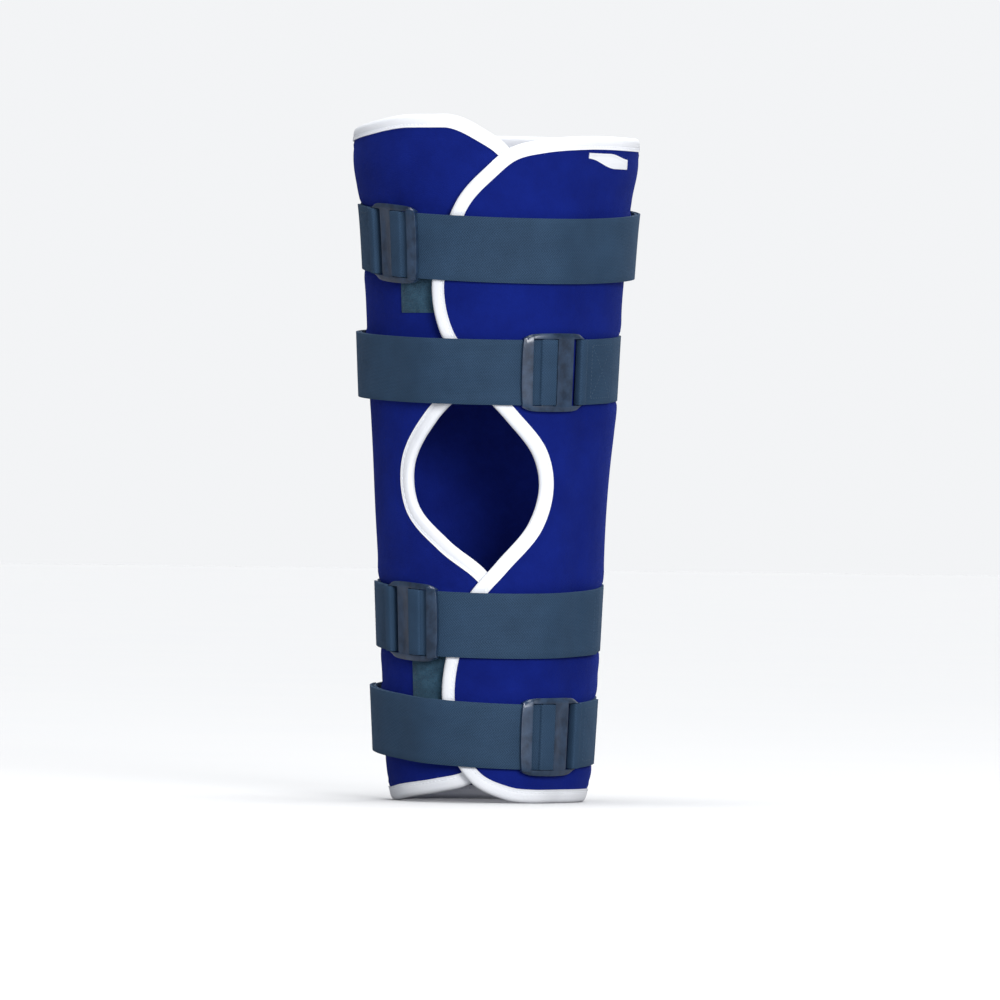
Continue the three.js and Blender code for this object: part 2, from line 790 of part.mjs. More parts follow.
function makePatch(patch) {
  const height = ((patch.low + patch.high) / 2) * LENGTH;
  const radius = halfWidthAt(height);
  const steps = 5;
  const columns = [];
  for (let i = 0; i <= steps; i += 1) {
    const sideways = WIDTH * THREE.MathUtils.lerp(patch.left, patch.right, i / steps);
    columns.push({
      angle: Math.asin(sideways / radius),
      low: patch.low * LENGTH,
      high: patch.high * LENGTH,
    });
  }
  const surface = (angle, at) => foamMiddle(-angle, at) + FOAM / 2;
  return makeSewnPiece(columns, surface, PATCH_CLEARANCE, PATCH);
}

// The tape across the top of the side pocket lies just under the rim's binding.
function makePocketTape() {
  const from = THREE.MathUtils.degToRad(42);
  const rimHeight = LENGTH * RIM[0].up;
  const top = rimHeight - TAPE_WIDTH - 3;
  const steps = 6;
  const columns = [];
  for (let i = 0; i <= steps; i += 1) {
    const share = i / steps;
    columns.push({
      angle: from + (share * POCKET_TAPE_LENGTH) / (WIDTH / 2),
      low: top - TAPE_WIDTH * THREE.MathUtils.lerp(0.55, 1.1, smooth(2 * share)),
      high: top - TAPE_WIDTH * THREE.MathUtils.lerp(0.1, 0, share),
    });
  }
  const surface = (angle, at) => foamMiddle(2 * Math.PI - angle, at) + FOAM / 2;
  return makeSewnPiece(columns, surface, PATCH_CLEARANCE, POCKET_TAPE);
}

const materials = {
  foam: new THREE.MeshStandardMaterial({ color: COLOURS.foam, roughness: 0.85, metalness: 0 }),
  tape: new THREE.MeshStandardMaterial({ color: COLOURS.tape, roughness: 0.75, metalness: 0 }),
  webbing: new THREE.MeshStandardMaterial({ color: COLOURS.webbing, roughness: 0.8, metalness: 0 }),
  buckle: new THREE.MeshStandardMaterial({ color: COLOURS.buckle, roughness: 0.4, metalness: 0 }),
  patch: new THREE.MeshStandardMaterial({ color: COLOURS.patch, roughness: 0.95, metalness: 0 }),
};

const immobilizer = new THREE.Group();

function addPiece(name, geometry, material) {
  const mesh = new THREE.Mesh(geometry, material);
  mesh.name = name;
  immobilizer.add(mesh);
}

addPiece("foam_wrap", makeWrap(), materials.foam);
addPiece("binding_hem", makeBinding(stations.hem), materials.tape);
addPiece("binding_top_flap", makeBinding(stations.topEdge), materials.tape);
addPiece("binding_rim", makeBinding([...stations.rim].reverse()), materials.tape);
addPiece("binding_under_flap", makeBinding([...stations.underEdge].reverse()), materials.tape);
PATCHES.forEach((patch) => addPiece(`patch_${patch.name}`, makePatch(patch), materials.patch));
addPiece("pocket_tape", makePocketTape(), materials.tape);
STRAPS.forEach((strap) => {
  addPiece(`strap_${strap.name}`, makeStrap(strap), materials.webbing);
  addPiece(`buckle_${strap.name}`, makeBuckle(strap), materials.buckle);
});

// The origin is under the middle of the whole object's box.
const box = new THREE.Box3().setFromObject(immobilizer);
const middle = box.getCenter(new THREE.Vector3());
immobilizer.children.forEach((mesh) => mesh.position.set(-middle.x, -middle.y, 0));

export default immobilizer;
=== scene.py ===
import math
import bpy
import numpy as np
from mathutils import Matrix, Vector


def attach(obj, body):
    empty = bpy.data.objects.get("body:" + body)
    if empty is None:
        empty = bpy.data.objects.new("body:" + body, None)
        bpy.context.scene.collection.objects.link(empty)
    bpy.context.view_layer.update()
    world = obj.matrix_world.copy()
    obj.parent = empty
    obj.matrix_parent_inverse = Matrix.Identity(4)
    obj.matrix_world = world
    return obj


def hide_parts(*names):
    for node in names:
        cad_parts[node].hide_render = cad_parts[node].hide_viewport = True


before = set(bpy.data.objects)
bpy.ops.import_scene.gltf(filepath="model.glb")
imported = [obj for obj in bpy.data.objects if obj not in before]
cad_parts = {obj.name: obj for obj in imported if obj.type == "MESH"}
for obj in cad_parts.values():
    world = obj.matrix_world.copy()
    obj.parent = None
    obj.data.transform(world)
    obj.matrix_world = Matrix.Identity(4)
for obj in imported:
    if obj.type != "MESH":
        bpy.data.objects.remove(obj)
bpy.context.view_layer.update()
bpy.ops.object.select_all(action="DESELECT")


# Studio: a plain pale floor that the sleeve stands on, lit from straight above, a pale surround, a
# large soft light from the front right, weaker ones from the left and behind, and a level, distant
# camera.
SCALE = 0.0007440
FRAME_PIXELS = 1000
CAMERA_AWAY = 9.0
CAMERA_SIDE = 0.0062
CAMERA_HEIGHT = 0.224
CAMERA_ROLL = -0.7
SENSOR = 36.0
SURROUND_LIGHT = 0.2
SURROUND_COLOUR = (0.97, 0.98, 1.0, 1.0)
SURROUND_SEEN = (0.895, 0.905, 0.92, 1.0)
LIT_PLACE = (0, 0, 0.26)
FLOOR_SIZE = 60.0
FLOOR_TONES = ((0.75, 0.76, 0.775, 1), (0.77, 0.775, 0.78, 1))
FLOOR_ABSORBING = (0.32, 0.32, 0.33, 1.0)

camera_data = bpy.data.cameras.new("camera")
camera_data.sensor_width = SENSOR
camera_data.lens = SENSOR * CAMERA_AWAY / (SCALE * FRAME_PIXELS)
camera_data.dof.use_dof = False
camera = bpy.data.objects.new("camera", camera_data)
bpy.context.scene.collection.objects.link(camera)
camera.location = (CAMERA_SIDE, -CAMERA_AWAY, CAMERA_HEIGHT)
camera.rotation_euler = (math.radians(90), math.radians(CAMERA_ROLL), 0)
bpy.context.scene.camera = camera
bpy.context.scene.view_settings.view_transform = "Standard"


def soft_light(name, kind, place, power, colour, **settings):
    data = bpy.data.lights.new(name, kind)
    data.energy = power
    data.color = colour
    for key, value in settings.items():
        setattr(data, key, value)
    light = bpy.data.objects.new(name, data)
    bpy.context.scene.collection.objects.link(light)
    light.location = place
    towards = Vector(LIT_PLACE) - Vector(place)
    light.rotation_euler = towards.to_track_quat("-Z", "Y").to_euler()


soft_light("key", "AREA", (1.275, -3.975, 1.145), 140.0, (1.0, 0.99, 0.98), size=1.35)
soft_light("fill", "AREA", (-1.35, -3.9, 0.47), 43.0, (0.95, 0.97, 1.0), size=2.1)
soft_light("behind", "SUN", (0.9, 2.6, 1.5), 0.7, (0.97, 0.98, 1.0), angle=math.radians(60))
soft_light("above", "SUN", (0, 0, 3), 2.9, (1.0, 1.0, 1.0), angle=math.radians(50))

surround = bpy.data.worlds.new("surround")
bpy.context.scene.world = surround
surround.use_nodes = True
nodes, links = surround.node_tree.nodes, surround.node_tree.links
lighting = nodes["Background"]
lighting.inputs["Color"].default_value = SURROUND_COLOUR
lighting.inputs["Strength"].default_value = SURROUND_LIGHT
seen = nodes.new("ShaderNodeBackground")
seen.inputs["Color"].default_value = SURROUND_SEEN
chosen = nodes.new("ShaderNodeMixShader")
links.new(nodes.new("ShaderNodeLightPath").outputs["Is Camera Ray"], chosen.inputs[0])
links.new(lighting.outputs[0], chosen.inputs[1])
links.new(seen.outputs[0], chosen.inputs[2])
links.new(chosen.outputs[0], nodes["World Output"].inputs["Surface"])


class Wire:
    """A value in a finish's nodes. Sums on it add the nodes that work them out."""

    def __init__(self, tree, socket=None):
        self.tree = tree
        self.socket = socket

    def node(self, kind, settings, sockets, output=0):
        made = self.tree.nodes.new(kind)
        for name, value in settings.items():
            if name == "stops":
                ramp = made.color_ramp
                while len(ramp.elements) < len(value):
                    ramp.elements.new(1.0)
                for element, (place, colour) in zip(ramp.elements, value):
                    element.position = place
                    element.color = colour
            else:
                setattr(made, name, value)
        for name, value in sockets.items():
            if isinstance(value, Wire):
                self.tree.links.new(value.socket, made.inputs[name])
            else:
                made.inputs[name].default_value = value
        return Wire(self.tree, made.outputs[output])

    def sum_with(self, operation, first, second):
        return self.node("ShaderNodeMath", {"operation": operation}, {0: first, 1: second})

    def __add__(self, other):
        return self.sum_with("ADD", self, other)

    def __sub__(self, other):
        return self.sum_with("SUBTRACT", self, other)

    def __rsub__(self, other):
        return self.sum_with("SUBTRACT", other, self)

    def __mul__(self, other):
        return self.sum_with("MULTIPLY", self, other)

    __radd__ = __add__
    __rmul__ = __mul__

    def wave(self, pitch):
        """0 to 1 and back over each pitch."""
        turned = self * (2 * math.pi / pitch)
        return self.node("ShaderNodeMath", {"operation": "SINE"}, {0: turned}) * 0.5 + 0.5

    def noise(self, scale, detail, roughness=0.5):
        sockets = {"Vector": self, "Scale": scale, "Detail": detail, "Roughness": roughness}
        return self.node("ShaderNodeTexNoise", {}, sockets)

    def ramp(self, stops):
        """A grey from pairs of place and value."""
        grey = [(place, (value, value, value, 1.0)) for place, value in stops]
        return self.node("ShaderNodeValToRGB", {"stops": grey}, {"Fac": self})

    def blend(self, first, second):
        """This share of the way from the first colour to the second."""
        sockets = {0: self, 6: first, 7: second}
        return self.node("ShaderNodeMix", {"data_type": "RGBA"}, sockets, 2)

    def part(self, axis):
        return self.node("ShaderNodeSeparateXYZ", {}, {0: self}, axis)


def colour_of(red, green, blue):
    """A linear colour from the three numbers of a screen colour."""
    shares = [value / 255 for value in (red, green, blue)]
    return tuple(((s + 0.055) / 1.055) ** 2.4 if s > 0.04 else s / 12.92 for s in shares) + (1.0,)


def new_finish(name):
    material = bpy.data.materials.new(name)
    material.use_nodes = True
    tree = material.node_tree
    place = Wire(tree).node("ShaderNodeTexCoord", {}, {}, "Object")
    return material, tree.nodes["Principled BSDF"], place


def feed(shader, wires):
    for name, value in wires.items():
        value.tree.links.new(value.socket, shader.inputs[name])


def relief(height, distance, strength=1.0):
    sockets = {"Height": height, "Distance": distance, "Strength": strength}
    return height.node("ShaderNodeBump", {}, sockets)


floor_finish, floor_shader, floor_place = new_finish("floor")
floor_tone = floor_place.noise(3.0, 2.0)
feed(floor_shader, {"Base Color": floor_tone.blend(*FLOOR_TONES)})
floor_shader.inputs["Roughness"].default_value = 0.9
floor_nodes = floor_finish.node_tree
absorbing = floor_place.node("ShaderNodeBsdfDiffuse", {}, {"Color": FLOOR_ABSORBING})
seen_floor = floor_place.node("ShaderNodeLightPath", {}, {}, "Is Camera Ray")
lit_floor = Wire(floor_nodes, floor_shader.outputs[0])
floor_mix = {0: seen_floor, 1: absorbing, 2: lit_floor}
floor_blend = floor_place.node("ShaderNodeMixShader", {}, floor_mix)
floor_nodes.links.new(floor_blend.socket, floor_nodes.nodes["Material Output"].inputs["Surface"])
bpy.ops.mesh.primitive_plane_add(size=FLOOR_SIZE, location=(0, 0, 0))
floor = bpy.context.object
floor.name = "floor"
floor.data.materials.append(floor_finish)


# Foam wrap: one sheet of foam between brushed blue loop cloth, cut flat to its outline and rolled
# once round the leg, its top flap lying over its under flap. It is pressed thin at its bound edge,
# held in by the straps and swells a little between them.
LENGTH = 0.508
WIDTH = 0.214
DEPTH = 0.202
AXIS = (0.000118, 0.005905)
FOAM = 0.007
FOAM_AT_EDGE = 0.0044
TAPE_WIDTH = 0.010
FOAM_INSET = 0.0013
FLAP_GAP = 0.0011
LIFT = FOAM + FLAP_GAP
LIFT_STARTS = math.radians(50)
LIFT_FULL = math.radians(22)
EDGE_LEAST = 0.0008
FULL_FROM = 0.0005
FULL_FADE = 0.0045
EDGE_FADE = 0.006
COVERED_FROM = 0.014
COVERED_FADE = 0.012
RUMPLE = 0.00025
WRAP_CELLS = (244, 172)
WIDE, DEEP, BACK = 1, 2, 3

# Outline of the wrapped leg: share of the length, half width, half depth, and how far back.
FORM = np.array([
    (0.0, 0.67, 0.66, 0.02),
    (0.024, 0.702, 0.7, 0.025),
    (0.05, 0.722, 0.73, 0.03),
    (0.1, 0.737, 0.755, 0.04),
    (0.15, 0.75, 0.777, 0.05),
    (0.2, 0.763, 0.79, 0.055),
    (0.35, 0.795, 0.785, 0.035),
    (0.484, 0.832, 0.785, 0.0),
    (0.573, 0.863, 0.818, -0.01),
    (0.703, 0.893, 0.885, -0.02),
    (0.83, 0.93, 0.935, -0.02),
    (0.885, 0.958, 0.962, -0.02),
    (0.925, 0.998, 0.99, -0.02),
    (0.96, 1.0, 1.0, -0.02),
    (1.0, 0.976, 0.975, -0.02),
])

# The flat outline: shares of the length up and of the width out, or degrees round from the front.
HEM = [(78, 0.0), (130, 0.0), (180, 0.0), (240, 0.0), (285, 0.0)]
TOP_FLAP_EDGE = [
    (0.0, 0.34), (0.0, 0.15), (0.005, 0.055), (0.03, -0.062), (0.088, -0.142), (0.157, -0.163),
    (0.22, -0.146), (0.295, -0.086), (0.35, 0.018), (0.407, 0.128), (0.459, 0.163),
    (0.504, 0.142), (0.557, 0.045), (0.618, -0.088), (0.683, -0.184), (0.748, -0.214),
    (0.807, -0.191), (0.878, -0.128), (0.92, -0.041), (0.951, 0.048), (0.964, 0.16),
    (0.971, 0.33),
]
RIM = [(282, 0.972), (235, 0.976), (180, 0.98), (125, 0.982), (82, 0.985)]
UNDER_FLAP_EDGE = [
    (0.99, -0.43), (1.0, -0.3), (0.998, -0.14), (0.978, -0.04), (0.953, 0.042),
    (0.905, 0.105), (0.817, 0.133), (0.738, 0.117), (0.656, 0.038), (0.606, -0.076),
    (0.555, -0.194), (0.488, -0.272), (0.437, -0.26), (0.382, -0.149), (0.337, -0.015),
    (0.285, 0.068), (0.213, 0.108), (0.134, 0.094), (0.059, 0.019), (0.028, -0.06),
    (0.015, -0.165), (0.005, -0.28),
]
TOP_CORNERS = (0.06, 0.925)
UNDER_CORNERS = (0.078, 0.93)


def smooth(share):
    s = np.clip(share, 0.0, 1.0)
    return s * s * (3.0 - 2.0 * s)


def form(column, height):
    """A column of the leg's outline at a height, by a cubic through its rows."""
    up, value = FORM[:, 0], FORM[:, column]
    rows = np.arange(len(up))
    before, after = np.maximum(rows - 1, 0), np.minimum(rows + 1, len(up) - 1)
    slope = (value[after] - value[before]) / (up[after] - up[before])
    share = np.clip(np.asarray(height) / LENGTH, 0.0, 1.0)
    i = np.clip(np.searchsorted(up, share) - 1, 0, len(up) - 2)
    span = up[i + 1] - up[i]
    t = (share - up[i]) / span
    return (
        (2 * t**3 - 3 * t**2 + 1) * value[i]
        + (t**3 - 2 * t**2 + t) * span * slope[i]
        + (3 * t**2 - 2 * t**3) * value[i + 1]
        + (t**3 - t**2) * span * slope[i + 1]
    )


def half_width(height):
    return WIDTH / 2 * form(WIDE, height)


def on_leg(angle, height, proud):
    """Points at an angle from the front towards +X, standing proud of the wrap's outer face."""
    x = AXIS[0] + (half_width(height) + proud) * np.sin(angle)
    depth = DEPTH / 2 * form(DEEP, height) + proud
    y = AXIS[1] + DEPTH / 2 * form(BACK, height) - depth * np.cos(angle)
    return np.stack([x, y, height + 0.0 * x], axis=-1)


def lift_at(turn):
    """The top flap rises over the under flap. turn runs from the front by way of -X."""
    return LIFT * smooth((LIFT_STARTS - (2 * math.pi - turn)) / (LIFT_STARTS - LIFT_FULL))


def rounded(points, steps):
    """A closed curve through points that never overshoots where they lie close together."""
    p = [np.roll(points, 1 - k, axis=0) for k in range(4)]
    gaps = [np.sqrt(np.linalg.norm(p[k + 1] - p[k], axis=1))[:, None] for k in range(3)]

    def slope(k):
        before, after = (p[k + 1] - p[k]) / gaps[k], (p[k + 2] - p[k + 1]) / gaps[k + 1]
        return (before - (p[k + 2] - p[k]) / (gaps[k] + gaps[k + 1]) + after) * gaps[1]

    leave, reach = slope(0), slope(1)
    curve = []
    for t in np.arange(steps) / steps:
        at = p[1] + leave * t + (3 * (p[2] - p[1]) - 2 * leave - reach) * t**2
        curve.append(at + (2 * (p[1] - p[2]) + leave + reach) * t**3)
    return np.stack(curve, axis=1).reshape(-1, 2)


def flap_edge(rows, is_top):
    up, out = np.array(rows).T
    radius = half_width(up * LENGTH) - FOAM / 2 + (LIFT if is_top else 0.0)
    angle = np.arcsin(out * WIDTH / radius)
    return np.stack([2 * math.pi - angle if is_top else -angle, up * LENGTH], axis=1)


def round_back(rows):
    return np.array([(math.radians(turn), up * LENGTH) for turn, up in rows])


MEAN_RADIUS = WIDTH / 2
outline = np.concatenate([
    round_back(HEM),
    flap_edge(TOP_FLAP_EDGE, True),
    round_back(RIM),
    flap_edge(UNDER_FLAP_EDGE, False),
])
outline = rounded(outline * (MEAN_RADIUS, 1.0), 40) / (MEAN_RADIUS, 1.0)
outline[:, 1] = np.clip(outline[:, 1], 0.0, LENGTH)


def inward(path):
    """Inward directions on the cloth along a path that keeps the sheet on its left."""
    run = np.roll(path, -1, axis=0) - np.roll(path, 1, axis=0)
    radius = half_width(path[:, 1])
    along, rise = run[:, 0] * radius, run[:, 1]
    size = np.hypot(along, rise)
    return np.stack([-rise / size / radius, along / size], axis=1)


outline_inward = inward(outline)


def four_sides(path):
    """The outline cut at its four corners: hem, top flap's edge, rim and under flap's edge."""
    def crossing(height, is_top, rising):
        here, there = path[:, 1], np.roll(path[:, 1], -1)
        crosses = (here < height) & (there >= height) if rising else (here > height) & (there <= height)
        on_flap = path[:, 0] > 1.5 * math.pi if is_top else path[:, 0] < 0.5 * math.pi
        return int(np.nonzero(crosses & on_flap)[0][0])

    corners = [
        crossing(UNDER_CORNERS[0] * LENGTH, False, False),
        crossing(TOP_CORNERS[0] * LENGTH, True, True),
        crossing(TOP_CORNERS[1] * LENGTH, True, True),
        crossing(UNDER_CORNERS[1] * LENGTH, False, False),
    ]
    count = len(path)
    sides = {}
    for k, name in enumerate(("hem", "top_flap", "rim", "under_flap")):
        start, stop = corners[k], corners[(k + 1) % 4]
        sides[name] = (start + np.arange((stop - start) % count + 1)) % count
    return sides


side_places = four_sides(outline)


def inset_of(turn, height):
    """How far inside the sheet's outline points lie, along the cloth. Outside is negative."""
    shape = np.shape(turn)
    turn, height = np.ravel(turn), np.ravel(height)
    a, b = outline, np.roll(outline, -1, axis=0)
    distance = np.empty(len(turn))
    inside = np.empty(len(turn), bool)
    for start in range(0, len(turn), 400):
        t, h = turn[start:start + 400, None], height[start:start + 400, None]
        radius = half_width(h)
        gap = np.hypot((t - a[:, 0]) * radius, h - a[:, 1])
        distance[start:start + 400] = gap.min(axis=1)
        spans = (a[:, 1] > h) != (b[:, 1] > h)
        rise = np.where(b[:, 1] == a[:, 1], 1e-9, b[:, 1] - a[:, 1])
        cross = a[:, 0] + (h - a[:, 1]) * (b[:, 0] - a[:, 0]) / rise
        inside[start:start + 400] = (spans & (t < cross)).sum(axis=1) % 2 == 1
    return np.where(inside, distance, -distance).reshape(shape)


# Heights of the straps as shares of the length in front and at each side, the angle of each buckle,
# the way the strap leaves it, how far its folded tail runs on, and how far it stands off each side.
STRAP_WIDTH = 0.048
SINK = 0.0012
STEP_DOWN = math.radians(27)
STEP_MARGIN = math.radians(3)
STRAPS = {
    "thigh_upper": {
        "front": 0.803, "left": 0.826, "right": 0.815,
        "buckle": -46, "pull": 1, "tail": 164, "stands_off": (-0.0024, 0.003),
    },
    "thigh_lower": {
        "front": 0.626, "left": 0.638, "right": 0.636,
        "buckle": 26.5, "pull": -1, "tail": 138, "stands_off": (0.004, -0.002),
    },
    "calf_upper": {
        "front": 0.258, "left": 0.274, "right": 0.27,
        "buckle": -41.5, "pull": 1, "tail": 109, "stands_off": (-0.0013, -0.0013),
    },
    "calf_lower": {
        "front": 0.0985, "left": 0.12, "right": 0.106,
        "buckle": 33, "pull": -1, "tail": 138, "stands_off": (0.004, -0.0018),
    },
}
PATCHES = {
    "upper": {"left": -0.326, "right": -0.15, "low": 0.712, "high": 0.81},
    "lower": {"left": -0.268, "right": -0.085, "low": 0.125, "high": 0.235},
}
PATCH_DENT = 0.0019
PATCH_MARGIN = 0.014
PATCH_FADE = 0.014
PRESS_OUTSIDE = 0.0015
PRESS_FADE = 0.0035
CONTACT_FADE = 0.002
UNEVEN = 0.0003

# The foam swells beside the straps, and as cloth under pressure wherever nothing holds it.
BULGE = 0.0008
BULGE_AWAY = 0.007
SWELL = -0.0015
SWELL_CELLS = (110, 80)
SWELL_FRAMES = 12
SWELL_MOST = 0.0022
CLOTH_MASS = 0.002
CLOTH_STIFFNESS = 5.0
CLOTH_PRESSURE = 120.0
HELD_BESIDE_TAPE = 0.001
HELD_PRESSED = 0.0002
HELD_ON_PATCH = 0.3
HELD_COVERED_FROM = 0.012
PROBE = 0.001


def strap_height(strap, angle):
    mean = (strap["left"] + strap["right"]) / 2
    side = (strap["right"] - strap["left"]) / 2
    return LENGTH * (mean + (strap["front"] - mean) * np.cos(angle) + side * np.sin(angle))


def flap_edge_under(strap):
    """The least angle of the top flap's edge under a strap."""
    edge = outline[side_places["top_flap"]]
    heights = strap["front"] * LENGTH + np.linspace(-0.5, 0.5, 5) * STRAP_WIDTH
    return float(np.min(2 * math.pi - np.interp(heights, edge[:, 1], edge[:, 0]))) - STEP_MARGIN


for strap in STRAPS.values():
    strap["edge"] = flap_edge_under(strap)


def rest_height(angle, edge):
    """How high a strap lies over the single layer as it comes down off the top flap."""
    front = np.arctan2(np.sin(angle), np.cos(angle))
    up = smooth((LIFT_STARTS - front) / (LIFT_STARTS - LIFT_FULL))
    down = smooth((front - edge + STEP_DOWN) / STEP_DOWN)
    return LIFT * np.minimum(up, down)


def standing_off(strap, angle):
    """How far a strap stands off the wrap, most at the two sides, with a slight unevenness."""
    side = np.sin(angle)
    left, right = strap["stands_off"]
    uneven = UNEVEN * np.sin(5 * angle + 40 * strap["front"])
    return np.where(side < 0, left, right) * np.abs(side) ** 3 + uneven


def pressed_in(turn, height):
    """How far straps press the outer face in, and how far it swells beside and between them."""
    angle = -turn
    lift = lift_at(turn)
    pressed = np.zeros(np.shape(turn))
    beside = np.zeros(np.shape(turn))
    under = np.zeros(np.shape(turn))
    for strap in STRAPS.values():
        away = np.abs(height - strap_height(strap, angle)) - STRAP_WIDTH / 2
        cover = 1.0 - smooth((away + PRESS_OUTSIDE) / PRESS_FADE)
        contact = 1.0 - smooth((rest_height(angle, strap["edge"]) - lift) / CONTACT_FADE)
        depth = np.maximum(SINK - standing_off(strap, angle), 0.0)
        pressed = np.maximum(pressed, depth * cover * contact)
        under = np.maximum(under, cover)
        tight = np.minimum(depth / SINK, 1.0)
        near = np.exp(-(((away - BULGE_AWAY) / BULGE_AWAY) ** 2))
        beside = np.maximum(beside, contact * tight * near)
    swell = (SWELL + BULGE * beside) * (1.0 - under)
    return pressed, swell


def patch_dent(angle, height):
    """Under a patch the foam is pressed in, so that the patch lies flush."""
    sideways = half_width(height) * np.sin(angle)
    dent = np.zeros(np.shape(angle))
    for patch in PATCHES.values():
        away = np.maximum.reduce([
            patch["left"] * WIDTH - sideways,
            sideways - patch["right"] * WIDTH,
            patch["low"] * LENGTH - height,
            height - patch["high"] * LENGTH,
        ])
        dent = np.maximum(dent, 1.0 - smooth((away - PATCH_MARGIN) / PATCH_FADE))
    return np.where(np.cos(angle) > 0, PATCH_DENT * dent, 0.0)


def foam_middle(turn, height):
    dent = np.where(turn < math.pi, patch_dent(-turn, height), 0.0)
    return lift_at(turn) - FOAM / 2 - dent


def outer_change(turn, height):
    """What the pressed and swelling foam adds to the height of the outer face."""
    pressed, swell = pressed_in(turn, height)
    covered = smooth((inset_of(turn + 2 * math.pi, height) + COVERED_FROM) / COVERED_FADE)
    free = np.where(turn < math.pi, 1.0 - covered, 1.0)
    on_patch = patch_dent(-turn, height) / PATCH_DENT * (turn < math.pi)
    waves = RUMPLE * (np.sin(5 * turn + 31 * height) + np.sin(3 * turn - 47 * height + 1.0))
    edge = smooth((inset_of(turn, height) - TAPE_WIDTH) / EDGE_FADE)
    return free * ((swell * (1.0 - on_patch) + waves * (1.0 - on_patch)) * edge) - pressed


def flat_grid(name, columns, rows):
    """A flat sheet of squares, its corners at -1 and 1."""
    bpy.ops.object.select_all(action="DESELECT")
    bpy.ops.mesh.primitive_grid_add(x_subdivisions=columns, y_subdivisions=rows, size=2)
    piece = bpy.context.object
    piece.name = piece.data.name = name
    return piece


def points_of(piece):
    flat = np.empty(len(piece.data.vertices) * 3)
    piece.data.vertices.foreach_get("co", flat)
    return flat.reshape(-1, 3)


def move_points(piece, points):
    piece.data.vertices.foreach_set("co", np.ascontiguousarray(points, np.float64).ravel())
    piece.data.update()


def finish_with(piece, kind, **settings):
    """Adds a modifier and applies it."""
    bpy.context.view_layer.objects.active = piece
    modifier = piece.modifiers.new(kind.title(), kind)
    for name, value in settings.items():
        setattr(modifier, name, value)
    bpy.ops.object.modifier_apply(modifier=modifier.name)


def edit(piece):
    bpy.ops.object.select_all(action="DESELECT")
    piece.select_set(True)
    bpy.context.view_layer.objects.active = piece
    bpy.ops.object.mode_set(mode="EDIT")


def face_out(piece):
    """Turns every face outwards and shades the piece smoothly up to its edges."""
    edit(piece)
    bpy.ops.mesh.select_all(action="SELECT")
    bpy.ops.mesh.normals_make_consistent(inside=False)
    bpy.ops.object.mode_set(mode="OBJECT")
    bpy.ops.object.shade_smooth_by_angle(angle=math.radians(50))


def inset_sides(distance):
    path = outline + outline_inward * distance
    return {name: path[places] for name, places in side_places.items()}


def across_sheet(u, v, sides):
    """The place on the flat sheet at a share across from the under flap and a share up."""
    hem, rim = sides["hem"], sides["rim"][::-1]
    top, under = sides["top_flap"], sides["under_flap"][::-1]

    def along_run(side, column, other, share):
        at = side[0, column] + (side[-1, column] - side[0, column]) * share
        order = np.argsort(side[:, column], kind="stable")
        return np.interp(at, side[order, column], side[order, other])

    turn = (1 - u) * along_run(under, 1, 0, v) + u * along_run(top, 1, 0, v)
    height = (1 - v) * along_run(hem, 0, 1, u) + v * along_run(rim, 0, 1, u)
    return turn, height


def foam_shell(name, columns, rows):
    """The sheet as a closed shell, with each point's place on the flat sheet and its side."""
    shell = flat_grid(name, columns, rows)
    finish_with(shell, "SOLIDIFY", thickness=2.0, offset=0.0)
    flat = points_of(shell)
    u, v, side = (flat[:, 0] + 1) / 2, (flat[:, 1] + 1) / 2, np.sign(flat[:, 2])
    turn, height = across_sheet(u, v, inset_sides(FOAM_INSET))
    inset = inset_of(turn, height)
    edge_round = FOAM_AT_EDGE / 2
    thin = np.where(
        inset < FOAM_INSET + edge_round,
        np.sqrt(np.clip(edge_round**2 - (FOAM_INSET + edge_round - inset) ** 2, EDGE_LEAST**2, None)),
        edge_round,
    )
    full = smooth((inset - TAPE_WIDTH + FULL_FROM) / FULL_FADE)
    half_thick = thin + (FOAM / 2 - edge_round) * full
    change = np.where(side > 0, outer_change(turn, height), 0.0)
    proud = foam_middle(turn, height) + side * half_thick + change
    return shell, u, v, side, turn, height, inset, proud


